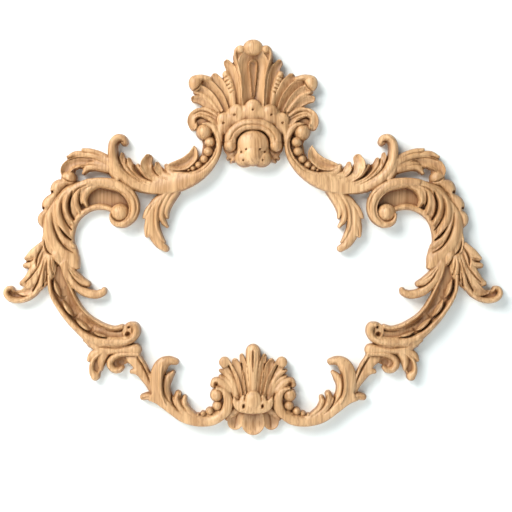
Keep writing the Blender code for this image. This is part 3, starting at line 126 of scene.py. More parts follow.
def along(x, y, path):
    """Distance to a path, the side of it, the share of its length gone, and its own values."""
    nearest = np.full(x.shape, np.inf)
    side = np.zeros(x.shape)
    gone = np.zeros(x.shape)
    values = [np.zeros(x.shape) for _ in range(path.shape[1] - 2)]
    lengths = np.hypot(np.diff(path[:, 0]), np.diff(path[:, 1]))
    starts = np.concatenate([[0], np.cumsum(lengths)])
    for k in range(len(path) - 1):
        from_x, from_y = -path[k, 0], path[k, 1]
        run_x, run_y = path[k, 0] - path[k + 1, 0], path[k + 1, 1] - path[k, 1]
        off_x, off_y = x - from_x, y - from_y
        t = np.clip((off_x * run_x + off_y * run_y) / (run_x ** 2 + run_y ** 2 + 1e-12), 0, 1)
        distance = np.hypot(off_x - t * run_x, off_y - t * run_y)
        closer = distance < nearest
        nearest = np.where(closer, distance, nearest)
        side = np.where(closer, np.sign(run_x * off_y - run_y * off_x), side)
        gone = np.where(closer, (starts[k] + t * lengths[k]) / starts[-1], gone)
        for v, value in enumerate(values):
            here = path[k, v + 2] + t * (path[k + 1, v + 2] - path[k, v + 2])
            values[v] = np.where(closer, here, value)
    return nearest, side, gone, values


def enclosed(x, y, ring_x, ring_y):
    """Whether each point lies inside a ring, counting crossings."""
    inside = np.zeros(x.shape, bool)
    for k in range(len(ring_x)):
        x1, y1, x2, y2 = ring_x[k - 1], ring_y[k - 1], ring_x[k], ring_y[k]
        if y1 != y2:
            crosses = (y1 > y) != (y2 > y)
            inside ^= crosses & (x < (x2 - x1) * (y - y1) / (y2 - y1) + x1)
    return inside


def ease(t):
    """From 0 to 1, slow at both ends."""
    t = np.clip(t, 0, 1)
    return t * t * (3 - 2 * t)


def spread(values, count):
    """Stretch a short list of values evenly over a longer path."""
    return np.interp(np.linspace(0, 1, count), np.linspace(0, 1, len(values)), values)


def stroke(points, widths, heights):
    """The path of one stroke: across, down, half width, height."""
    points = np.asarray(points, float)
    return np.column_stack([points, spread(widths, len(points)), spread(heights, len(points))])


class Carving:
    """Height and outline of the left half at a set of points, built up stroke by stroke."""

    def __init__(self, across, down):
        shift = CENTRE_SQUEEZE * np.clip(across / CENTRE_REACH, 0, 1)
        self.x = -(across + shift)
        self.y = down
        self.height = np.zeros(across.shape)
        self.inside = np.full(across.shape, -FAR_OUTSIDE)
        self.rows = np.argsort(self.y, kind="stable")
        self.sorted_y = self.y[self.rows]
        self.reach = np.array([0.0, np.inf, -np.inf])

    def near(self, path, margin):
        """The points in reach of a path, which the sheet's own reach grows to take in."""
        low, high = path[:, :2].min(axis=0) - margin, path[:, :2].max(axis=0) + margin
        widest, top, bottom = self.reach
        self.reach = np.array([max(widest, high[0]), min(top, low[1]), max(bottom, high[1])])
        first, last = np.searchsorted(self.sorted_y, [low[1], high[1]])
        rows = self.rows[first:last]
        x = self.x[rows]
        return rows[(x > -high[0]) & (x < -low[0])]

    def add(self, rows, height, inside):
        """Lay a stroke over the others: the higher one shows, its flank sloping into the valley."""
        keep = inside > -FLANK
        rows, height, inside = rows[keep], height[keep], inside[keep]
        height = height - FLANK_DROP * np.clip(-inside / FLANK, 0, 1)
        self.height[rows] = np.maximum(self.height[rows], height)
        self.inside[rows] = np.maximum(self.inside[rows], inside)

    @staticmethod
    def rounded(inside, edge):
        """The share of its height that a stroke keeps close to its edge."""
        t = np.clip(inside / ROLL, 0, 1)
        return edge + (1 - edge) * np.sqrt(1 - (1 - t) ** 2)

    def limb(self, points, widths, heights, bow=0.3, lean=0.0, edge=EDGE_SHARE):
        """A lobe or stem along a path: rounded, or hollow between two rims where bow is below 0.
        A lean above 0 keeps its right side high, seen along the path, and lets the left side drop."""
        path = smooth(stroke(points, widths, heights))
        rows = self.near(path, path[:, 2].max() + FLANK)
        distance, side, _, (width, height) = along(self.x[rows], self.y[rows], path)
        u = np.clip(distance / width, 0, 1)
        form = 1 - bow * u ** ROUNDNESS if bow >= 0 else 1 + bow * (1 - u ** 2)
        form = form - abs(lean) * (1 - np.sign(lean) * side * u) / 2
        inside = width - distance
        self.add(rows, height * form * self.rounded(inside, edge), inside)

    def ball(self, across, down, radius_across, radius_down, height, foot=0.35):
        """A boss, rising from a share of its height at the rim."""
        rows = self.near(np.array([[across, down]]), max(radius_across, radius_down) + FLANK)
        q = np.hypot((self.x[rows] + across) / radius_across, (self.y[rows] - down) / radius_down)
        form = foot + (1 - foot) * np.sqrt(np.clip(1 - q * q, 0, 1))
        self.add(rows, height * form, (1 - q) * min(radius_across, radius_down))

    def plate(self, ring, height, dish=0.0, rim=4.0, both_halves=False, curved=True):
        """A flat or dished ground inside a ring, swelling up where dish is below 0."""
        ring = smooth(ring) if curved else np.asarray(ring, float)
        if both_halves:
            ring = np.vstack([ring, (ring * [-1, 1])[::-1]])
        ring = np.vstack([ring, ring[:1]])
        rows = self.near(ring, FLANK)
        x, y = self.x[rows], self.y[rows]
        distance, _, _, _ = along(x, y, ring)
        inside = np.where(enclosed(x, y, -ring[:, 0], ring[:, 1]), distance, -distance)
        form = 1 - dish * ease(inside / rim)
        self.add(rows, height * form * self.rounded(inside, EDGE_SHARE), inside)

    def ground(self, ring, height, **form):
        """A plate with straight sides, mostly hidden, that fills in between other forms."""
        self.plate(ring, height, curved=False, **form)

    def ribbon(self, outer, inner, heights, bow=0.15, lean=(0.0, 0.0)):
        """A band between two lines. Its lean lets the inner side drop, from its start to its end."""
        outer, inner = smooth(outer), smooth(inner)
        ring = np.vstack([outer, inner[::-1], outer[:1]])
        rows = self.near(ring, FLANK)
        x, y = self.x[rows], self.y[rows]
        to_outer, _, gone_outer, _ = along(x, y, outer)
        to_inner, _, gone_inner, _ = along(x, y, inner)
        to_edge, _, _, _ = along(x, y, ring)
        inside = np.where(enclosed(x, y, -ring[:, 0], ring[:, 1]), to_edge, -to_edge)
        u = (to_outer - to_inner) / (to_outer + to_inner + 1e-9)
        gone = (gone_outer + gone_inner) / 2
        drop = np.interp(gone, np.linspace(0, 1, len(lean)), lean)
        height = np.interp(gone, np.linspace(0, 1, len(heights)), heights)
        form = 1 - bow * u ** 2 - drop * (1 + u) / 2
        self.add(rows, height * form * self.rounded(inside, EDGE_SHARE), inside)

    def cut(self, points, widths, depths, floor=GROOVE_FLOOR, sharp=2.0):
        """A groove, steeper towards its middle where sharp is higher."""
        path = smooth(stroke(points, widths, depths))
        rows = self.near(path, path[:, 2].max())
        distance, _, _, (width, depth) = along(self.x[rows], self.y[rows], path)
        share = (1 - np.clip(distance / width, 0, 1)) ** sharp
        height = self.height[rows]
        self.height[rows] = np.maximum(height - depth * share, np.minimum(height, floor))

    def vein(self, points, widths, depths, floor=GROOVE_FLOOR):
        """A softer groove, as in a leaf."""
        self.cut(points, widths, depths, floor, VEIN_SHARPNESS)

    def scoop(self, across, down, radius_across, radius_down, depth, floor=GROOVE_FLOOR):
        """A drilled or gouged hollow."""
        rows = self.near(np.array([[across, down]]), max(radius_across, radius_down))
        q = np.hypot((self.x[rows] + across) / radius_across, (self.y[rows] - down) / radius_down)
        height = self.height[rows]
        share = 1 - np.clip(q, 0, 1) ** 2
        self.height[rows] = np.maximum(height - depth * share, np.minimum(height, floor))


def crown(c):
    """The fan of lobes at the top, with its concave centre lobe."""
    c.ground([(0, 54), (18, 56), (24, 66), (31, 77), (44, 82), (56, 90), (50, 96), (55, 102), (46, 106),
        (50, 112), (40, 124), (0, 124)], 0.36, both_halves=True)
    c.ground([(8, 46), (16, 47), (20, 53), (19.4, 60), (17, 64), (13.6, 60), (10, 54)], 0.6)
    c.limb([(19, 57), (17.2, 67), (15.4, 79), (14.2, 92), (13.6, 106)], (2.8, 2.8, 2.6, 2.4), (0.54, 0.56),
        bow=0.2)
    c.limb([(0, 66), (0, 78), (0, 92), (0, 108)], (17.4, 14.8, 13, 12), (0.7, 0.68), bow=-0.42, edge=0.9)
    c.limb([(19.2, 54), (18, 60), (15.4, 69), (13.2, 79), (12, 98)], (1.9, 1.5, 1.3), (0.74, 0.68),
        bow=0.2)
    c.ball(0, 47.8, 10.8, 8, 0.88, 0.72)
    c.ball(14, 49.6, 5.4, 4.2, 0.8, 0.7)
    c.limb([(13, 48.6), (17.6, 49.8), (19.2, 54)], (3.2, 2.6, 1.8), (0.74, 0.74))
    c.limb([(0, 64.6), (0, 75), (0, 90), (0, 98)], (4.8, 3.9, 2.1, 0.9), (0.66, 0.62), bow=-0.5, edge=0.9)
    c.limb([(27.6, 62.8), (23.6, 69), (20.8, 78), (18.6, 90), (17, 106)], (3.4, 5, 4.6, 4, 3.4),
        (0.6, 0.62, 0.64), bow=-0.2, lean=-0.26)
    c.limb([(28.6, 74), (26.4, 80), (23.6, 88), (21.4, 97), (20, 108)], (3.6, 4.8, 4.4, 3.6, 3),
        (0.56, 0.62), bow=0.3)
    for across, down in ((28.4, 77), (27.4, 80.8), (26, 84.6), (24.6, 88.4), (23.2, 92.2)):
        c.cut([(across - 2.8, down - 1), (across, down), (across + 2.6, down + 1.6)], (0.9, 1.4, 0.9),
            (0.03, 0.1, 0.06), sharp=1.3)
    c.limb([(39.6, 77), (35.4, 83), (30.8, 91), (27, 100), (24.6, 110)], (4, 5.4, 5.2, 4.6, 3.6),
        (0.54, 0.62), bow=-0.12, lean=-0.26)
    c.ground([(44, 77), (54, 76), (62, 80), (63, 88), (56, 92), (44, 90), (38, 88)], 0.36)
    c.limb([(54, 83.6), (46.4, 85.8), (38.4, 94), (33.4, 101), (29.6, 109)], (5, 6.2, 6.2, 5.2, 4),
        (0.6, 0.64), bow=-0.26, lean=-0.2)
    c.limb([(56, 87.6), (48.4, 92), (41, 99.4), (34.6, 110)], (3.6, 4.2, 3.8, 3), (0.58, 0.62), bow=-0.12,
        lean=-0.2)
    c.limb([(59.6, 92), (52, 95.4), (45, 101), (37, 111)], (2.2, 3.4, 3.6, 3.2), (0.54, 0.6), lean=-0.2)
    c.ball(59.4, 83.2, 6.8, 8, 0.72, 0.64)
    c.limb([(45, 79), (52, 77.6), (58, 78)], (3, 3.4, 3.6), (0.6, 0.66, 0.66))
    c.cut([(50.6, 80.2), (53.6, 83.4), (56.4, 87.6), (60.6, 90.4)], (1, 1.5, 1.7, 1.2),
        (0.05, 0.16, 0.2, 0.1))
    c.limb([(60.4, 98.8), (54, 99.8), (46, 104.8), (38, 113)], (3.4, 4.2, 4.2, 3.4), (0.52, 0.58),
        bow=-0.16, lean=-0.2)
    c.limb([(52.6, 108), (46, 110), (38, 116)], (1.6, 3.4, 3.4), (0.46, 0.54), bow=0.3)
    c.ground([(34, 112), (50, 111), (61, 112), (64, 118), (62, 127), (54, 126), (42, 124), (34, 132)],
        0.38)
    c.limb([(61.4, 126), (62.8, 121), (60.8, 115.4), (54.6, 112.4), (46, 114.6), (36, 121)],
        (4.4, 4.6, 4.6, 4.8, 5.4, 5.8), (0.6, 0.62, 0.62, 0.64), bow=-0.14, lean=0.2)
    c.cut([(58.6, 123.4), (58.4, 119.6), (54.4, 117.2), (46, 119.4)], (1.6, 2.2, 2.2, 1.4),
        (0.1, 0.24, 0.2, 0.08))
    c.vein([(60.6, 114), (54.6, 111), (46, 112.6), (37, 118)], (1, 1.4, 1), (0.05, 0.1, 0.06))
    c.vein([(59.6, 117), (54.6, 114), (46.4, 115.8), (38.6, 120)], (0.8, 1.2, 0.8), (0.03, 0.07, 0.04))


def collar(c):
    """The scalloped collar, the double arch below it and the domed boss with its cheeks."""
    c.limb([(0, 113), (10, 114), (20, 117), (29, 123.5), (34, 133), (32.6, 141)], (9, 9, 9, 8, 4.4, 1),
        (0.78, 0.66), bow=0.22)
    c.limb([(0, 109), (0, 114), (0, 120)], (9.6, 9.4, 8.8), (0.8, 0.76), bow=0.14)
    c.limb([(18, 112.8), (16.8, 117), (15, 122)], (8.4, 8, 7.4), (0.78, 0.74), bow=0.14)
    c.limb([(30.4, 119.8), (29.4, 124), (28, 128.6)], (7.2, 7.2, 6.6), (0.72, 0.68), bow=0.14)
    for across, down in ((0, 110), (19.8, 115.2), (31, 123.3)):
        c.scoop(across, down, 1.5, 1.5, 0.12)
    c.ground([(0, 120), (20, 122), (31, 134), (33, 140), (31, 150), (26, 158), (14, 162), (0, 160)], 0.46,
        both_halves=True)
    c.ribbon([(-5, 119.4), (3, 119.2), (10, 119.8), (17, 122.4), (24, 127.6), (29, 134.6), (30, 142)],
        [(-5, 130.4), (2, 130.3), (9, 131.2), (14, 134), (17.6, 138.4), (18.6, 144)], (0.94, 0.92, 0.86),
        bow=0.1)
    c.vein([(-3, 125), (8, 125.6), (15, 128.4), (20.6, 133), (24, 140)], (1.6, 1.6), (0.08, 0.07))
    c.ball(24.2, 145.5, 6.3, 6.3, 0.88, 0.66)
    c.plate([(0, 132), (8, 133), (14, 136.5), (17, 143), (17.4, 152), (19.6, 159), (16.4, 163.8),
        (10, 166.8), (4, 166.2), (0, 164.4)], 0.7, dish=-0.12, rim=7, both_halves=True)
    c.ball(0, 144, 17, 13.6, 0.97, 0.7)
    c.ball(0, 154, 12, 12, 1, 0.66)
    c.ball(10.4, 158.4, 9.4, 8.6, 0.88, 0.62)
    for across, down in ((7.6, 149.8), (12.8, 152.4), (10.5, 160.5)):
        c.scoop(across, down, 1.2, 1.2, 0.14)
    c.limb([(14, 150.6), (20, 153.6), (26.6, 158.4)], (4.4, 4.6, 1.8), (0.64, 0.5), lean=0.2)
    c.limb([(15, 156), (20.6, 159), (23.6, 161.6)], (4, 3.4, 1.5), (0.54, 0.44))


def upper_scroll(c):
    """The S-scroll under the crown: bead, band, pearls, flutes and the curled stem."""
    c.ground([(46, 128), (54, 136), (51.6, 144), (53, 154), (57, 160), (70, 166), (86, 166), (84, 174),
        (60, 172), (44, 160), (38, 146), (40, 134)], 0.36)
    outer = [(54, 123.6), (46.3, 122.3), (40.6, 124.2), (36, 129.3), (32.6, 141.5), (34.5, 155.6),
        (42.5, 169.7), (52.7, 180), (65.5, 188), (79.4, 192.7), (94.6, 194.2), (110, 192.4), (125, 185),
        (135.5, 179.7)]
    inner = [(50, 125.5), (46.9, 126.8), (41.9, 132), (38.3, 143.4), (39.9, 151), (43.8, 158),
        (53.4, 167.8), (65, 172), (76, 171.5), (88, 171), (100, 171), (112, 168), (122, 163), (130, 157)]
    c.ribbon(outer, inner, (0.7, 0.74, 0.74), bow=0.12, lean=(0, 0, 0, 0.32, 0.34))
    c.cut([(46.6, 129.8), (40, 136), (36.8, 144), (38.4, 153), (43.2, 161.5), (52, 170.4), (62, 174.4)],
        (1.5, 1.5, 1), (0.1, 0.09, 0.03), sharp=1.3)
    c.ball(50.5, 132, 8.4, 8.4, 0.78, 0.4)
    pearls = ((44.8, 142.1, 5.4, 0.74), (46.2, 151.6, 5, 0.7), (50.4, 159.3, 4.3, 0.66),
        (56, 165, 3.8, 0.62), (61.6, 168.6, 2.9, 0.58), (65.8, 170.2, 1.9, 0.54))
    for across, down, radius, height in pearls:
        c.ball(across, down, radius, radius, height, 0.5)
    c.plate([(60.6, 145), (57.4, 149), (56.4, 155), (57.6, 160), (62, 165), (68, 169.5), (78, 171),
        (87, 168), (87, 164.4), (79, 160.4), (72, 157.2), (66, 152.6)], 0.52, dish=0.32, rim=6.5)
    c.limb([(130.4, 142), (132, 138.8), (137, 138), (141, 142.6), (142, 150), (141, 159), (137.8, 168),
        (131, 176), (121, 183.5), (106, 189), (90, 190)], (4, 4.2, 4.2, 4.8, 5, 5.4, 6.2, 6.6, 6.4, 5, 3),
        (0.62, 0.72, 0.78, 0.78, 0.74, 0.66), lean=0.14)
    c.vein([(138, 152), (138.4, 145), (135.6, 141.4), (132, 141.4), (130.6, 144)], (1, 1.4, 1.4, 1),
        (0.02, 0.1, 0.12, 0.04))
    c.limb([(132.4, 154), (132.6, 160), (130.4, 166.4), (125.4, 173), (117, 180), (103, 186)],
        (1.8, 3.4, 4.2, 4.4, 4.2, 3), (0.54, 0.7, 0.64), bow=-0.1, lean=0.3)
    c.limb([(125.8, 159.4), (124.6, 165), (120.6, 171.4), (113, 178), (99, 183.6)], (2, 3.6, 4.2, 4, 3),
        (0.54, 0.7, 0.62), bow=-0.1, lean=0.3)
    c.limb([(117, 165), (114, 169.4), (108, 175)], (1.8, 3.2, 3.2), (0.5, 0.6), lean=0.2)
    c.limb([(106.4, 158.2), (108.2, 163.6), (106.2, 170), (99, 177), (86, 182.5)], (4.4, 5.8, 6, 5.2, 3.2),
        (0.56, 0.72, 0.62), bow=-0.16, lean=0.34)
    c.limb([(97.4, 163.6), (96, 169), (90.4, 174.4), (78, 179)], (2.2, 4.2, 4.4, 3), (0.54, 0.68, 0.6),
        bow=-0.12, lean=0.3)
    c.limb([(88.2, 165.6), (85.6, 169.8), (77, 174.8)], (2.4, 3.8, 2.8), (0.54, 0.62), lean=0.2)
    c.cut([(120.6, 164), (119.4, 168.6), (114.4, 174.4), (109.4, 178.4), (100, 182.6)],
        (2.2, 3.2, 3, 2.2, 1), (0.3, 0.56, 0.5, 0.24, 0), floor=0.1)
    c.cut([(136, 150), (135.8, 158), (132.4, 166.4), (126, 174), (114, 182), (102, 187)],
        (1.5, 2, 1.8, 1.6, 1.4, 1), (0.2, 0.24, 0.14, 0.1, 0.06, 0))
    c.cut([(128.6, 159), (127, 166), (121.6, 173), (112, 180.6), (100, 185.6)], (1.2, 1.6, 1.6, 1.4, 1),
        (0.16, 0.12, 0.1, 0.06, 0), sharp=1.5)
    c.cut([(101.6, 164), (101.4, 169), (96, 175.6), (84, 180.4)], (1.4, 1.6, 1.5, 1),
        (0.2, 0.14, 0.08, 0), sharp=1.5)
    c.cut([(92.2, 167), (89.6, 171.6), (80, 176.6)], (1.3, 1.4, 1), (0.16, 0.08, 0), sharp=1.5)


def hanging_leaf(c):
    """The leaf that hangs into the opening from the S-scroll."""
    c.ground([(70, 186), (78.4, 195.7), (85, 205), (90, 214), (97, 214), (104, 203), (95, 194.5),
        (84, 188)], 0.46)
    c.plate([(92, 192), (101, 199.6), (108, 206.8), (111.6, 214), (112, 218.6), (109.4, 219.4),
        (110.6, 227), (109.8, 236), (107.6, 237.8), (104.4, 237), (101.5, 242), (97, 247.4), (91.5, 251),
        (87.2, 250.2), (86.8, 246.6), (91, 243), (94.6, 236), (98, 228), (99, 216), (96, 204)], 0.52,
        dish=-0.08)
    c.limb([(90, 194), (99, 203), (104, 213), (104.6, 223), (102, 234), (96, 243.6), (89, 248.6)],
        (4, 5, 5.4, 5.2, 4.8, 4.4, 3.6), (0.58, 0.57, 0.54), bow=0.25)
    c.limb([(88, 192), (95.6, 204), (98.2, 216), (97.6, 227), (94, 236.5), (90.4, 242)],
        (3.6, 3, 2.8, 2.8, 2.6, 1.5), (0.64, 0.6, 0.52), bow=0.3)
    c.limb([(84, 192), (90.8, 204.5), (93.2, 214), (91.6, 221), (87.8, 226.4)], (4, 3.8, 3.6, 3.2, 1.8),
        (0.62, 0.56), bow=0.3)
    c.limb([(78, 191.5), (85.4, 203), (88.4, 211), (87.4, 217.4)], (4, 4, 3.6, 1.7), (0.6, 0.52), bow=0.3)
    c.vein([(98, 200), (104.6, 209), (108, 217)], (0.8, 1.3, 0.9), (0, 0.05, 0.03))
    c.vein([(105.4, 222), (107, 230), (107.4, 236)], (0.8, 1.3, 0.9), (0, 0.05, 0.05))


def shoulder_leaf(c):
    """The leaf over the shoulder, left of the curled stem."""
    c.ground([(140, 162), (146, 160), (150, 156.2), (155, 152.6), (160, 149.6), (166, 148), (172, 148),
        (172.4, 150), (175, 152.6), (183, 155.4), (188, 159), (190, 166), (190, 174), (185, 178),
        (180.4, 174.6), (180, 170.6), (176, 168.4), (170, 168.8), (171.8, 173.4), (166, 171.4),
        (160, 170.6), (152, 171.6), (141, 177)], 0.38)
    c.limb([(143, 164), (155, 157.6), (165, 152.4), (172, 149.4)], (6, 6.4, 4.4, 1.5), (0.64, 0.54),
        bow=0.15)
    c.limb([(150, 162), (163, 156.8), (178, 154.2), (187, 156.8)], (4.5, 4.4, 3.6, 1.7), (0.62, 0.54),
        bow=0.2, lean=0.15)
    c.limb([(152, 165), (165, 162), (178, 162.4), (186, 165.8), (188.8, 171.4), (186.6, 177)],
        (4.5, 5, 5.6, 5.8, 5.6, 3.6), (0.6, 0.58, 0.56), bow=-0.36)
    c.limb([(147, 168.4), (158, 166), (166, 167), (171.4, 173.2)], (5, 5.2, 4.4, 1.8), (0.62, 0.52),
        bow=0.18)
    c.limb([(145, 160), (141, 172), (137, 179)], (4, 5, 4), (0.66, 0.68))
    c.vein([(149, 164), (162, 159), (176, 157.6), (188, 160.6)], (1.4, 1.6, 1.4, 1), (0.03, 0.12, 0.14))
    c.vein([(150, 158), (160, 153.6), (172, 152)], (1.2, 1.5, 1), (0.02, 0.07, 0.07))
    c.vein([(152, 168), (162, 164.6), (171, 165.6), (176, 168)], (1.2, 1.5, 1.2), (0.02, 0.08, 0.14))


def husks(c):
    """The bud and the string of husks down the outer edge."""
    c.ball(186, 178.4, 8, 7.6, 0.62, 0.55)
    c.cut([(193, 177), (186.6, 181), (180, 182)], (1.2, 1.8, 1.2), (0.08, 0.14, 0.06))
    c.limb([(190, 182.6), (196, 185.6), (199, 190), (199.6, 195), (198.4, 199.4)], (4, 6.4, 6, 3.6, 1.2),
        (0.6, 0.62, 0.5), bow=0.35)
    c.scoop(202.2, 192, 1.6, 1.8, 0.26)
    c.limb([(201, 196), (205.6, 201.6), (208.4, 206), (208.6, 210), (207.2, 213.4)], (4, 6, 5.4, 3.2, 1.2),
        (0.56, 0.58, 0.46), bow=0.35)
    c.scoop(211.2, 208, 1.5, 1.6, 0.26)
    c.limb([(209, 211.6), (212.8, 217), (213.4, 222), (211.8, 227)], (3, 4.4, 3.8, 1.5), (0.5, 0.52, 0.42),
        bow=0.35)
    c.scoop(210.8, 225, 1.3, 1.3, 0.2)
    c.scoop(210, 234.7, 1.5, 1.9, 0.36)


def side_scroll(c):
    """The C-scroll with its boss, the hollow behind it and the moulding round the opening."""
    c.plate([(121, 212), (123, 200), (132, 188), (144, 184), (154, 183), (165, 186), (170, 194),
        (176, 206), (172, 212), (157, 207), (144.4, 210), (132, 220)], 0.48, dish=0.6, rim=5)
    outer = [(170, 179.7), (160, 177.8), (150, 177.6), (140, 179), (130.4, 183.5), (121.4, 190),
        (116, 199.5), (115.2, 210), (118.4, 219), (125, 225.4), (131.6, 228), (139.4, 226.8), (144.4, 222),
        (145.4, 214)]
    inner = [(168, 187.4), (160, 187), (150, 188.2), (138, 191.2), (131.6, 195.7), (127.2, 202),
        (125.6, 209), (127, 215.6), (130, 219.4), (134.4, 221.6), (139, 220.6), (142.2, 217), (143, 213)]
    c.ribbon(outer, inner, (0.82, 0.78, 0.7), bow=0.14, lean=(0.1, -0.06))
    c.vein([(138, 189.6), (130.6, 194.4), (125.6, 200.8), (123.4, 208), (125, 216), (129.6, 221.4)],
        (1.4, 1.6, 1.4), (0.03, 0.1, 0.06))
    c.vein([(131, 186.4), (122.8, 193.6), (118.6, 202), (118, 211), (121, 219)], (1.2, 1.5, 1),
        (0.02, 0.09, 0.02))
    c.ball(134.8, 213, 9.6, 9.2, 0.78, 0.5)
    rim_outer = [(138, 210.5), (144.4, 206.4), (157, 203.8), (170, 208), (181, 218), (186.5, 234),
        (182, 250), (179, 264)]
    rim_inner = [(141, 214), (149, 210.4), (159, 210.1), (167.3, 213.3), (175, 219.7), (179.5, 229),
        (181, 241.4), (177.2, 251), (175.3, 267.7)]
    c.ribbon(rim_outer, rim_inner, (0.5, 0.46, 0.42), bow=0.2)


def acanthus(c):
    """The long acanthus leaf that turns the side from the C-scroll into the lower leaf."""
    outer = [(160, 177.8), (170, 179.7), (185, 187.7), (198, 199.2), (207.6, 212.6), (210.8, 230),
        (213, 242), (209, 254), (196, 262), (178.8, 269.6)]
    inner = [(156, 186), (166, 190), (171, 200), (175, 211), (181, 221), (183.6, 234), (182.4, 244),
        (178.4, 250.6), (175.6, 257), (175.3, 267.7)]
    c.ribbon(outer, inner, (0.78, 0.66, 0.58, 0.54), bow=0.1, lean=(0.1, 0.3, 0.3, 0.1))
    c.ground([(186, 256), (206, 256), (212, 270), (207, 288), (190, 290), (184, 276)], 0.3)
    c.limb([(152, 183), (162, 185.6), (169, 191.4), (171.2, 199), (168.4, 205.6)],
        (3.6, 4.6, 4.8, 4.2, 2.2), (0.76, 0.74, 0.6), lean=-0.22)
    c.limb([(158, 181.6), (169, 184.8), (176.4, 190.6), (179, 198), (178.8, 206), (175.6, 213.4)],
        (4, 4.6, 4.6, 4.2, 3.8, 2), (0.8, 0.76, 0.58), lean=-0.22)
    c.limb([(170, 183.6), (181, 188.6), (188, 197), (189.8, 206.6), (187.6, 216), (182, 224.4)],
        (3.8, 4.2, 4.2, 4, 3.8, 2), (0.78, 0.76, 0.58), lean=-0.18)
    c.limb([(176, 184.6), (187.6, 190.5), (195, 200), (197.6, 211), (195.6, 222), (190.8, 231),
        (184.8, 237.6)], (3.4, 4.4, 4.8, 4.8, 4.8, 4.4, 2.2), (0.7, 0.74, 0.56), lean=-0.18)
    c.limb([(194, 195), (201, 206), (203, 217), (199.6, 229), (192, 239), (182, 246.6)],
        (3.4, 3.8, 4, 4.8, 5.2, 3.2), (0.56, 0.62, 0.54), bow=0.2, lean=-0.1)
    c.limb([(203, 206), (206.6, 218), (206, 232), (201, 244), (193, 253), (185, 260), (177.8, 267)],
        (3, 4.6, 6, 7.6, 8.4, 8, 2.6), (0.58, 0.68, 0.66, 0.6, 0.54), bow=0.2, lean=-0.16)
    c.cut([(181.6, 190), (183.6, 196), (185.6, 204), (184.6, 213), (180.6, 219.6)],
        (1.2, 2, 2.8, 2.6, 1.6), (0.04, 0.36, 0.52, 0.46, 0.24), floor=0.12)
    c.cut([(196, 226), (192.6, 231.6), (189, 236), (184, 240)], (1, 1.8, 2.2, 1.4),
        (0.04, 0.34, 0.46, 0.34), floor=0.12)
    c.cut([(172.6, 188), (175, 194), (175.4, 202), (172.6, 208.6)], (1.2, 1.6, 1.8, 1.8),
        (0.04, 0.16, 0.26, 0.34))
    c.cut([(202.6, 213), (201.4, 225), (197, 238), (190, 247.6), (182, 252.6)], (1.2, 1.8, 2, 1.8, 1.2),
        (0.06, 0.16, 0.24, 0.22, 0.1), sharp=1.5)
    c.vein([(168, 185.6), (178, 190), (184.6, 200)], (1.3, 1.3, 0.8), (0.06, 0.1, 0.04))
    c.vein([(190.6, 195), (193.4, 205), (191.8, 216), (186.6, 226), (183, 230)], (1.3, 1.7, 1.7, 1.2, 1),
        (0.03, 0.15, 0.18, 0.14))


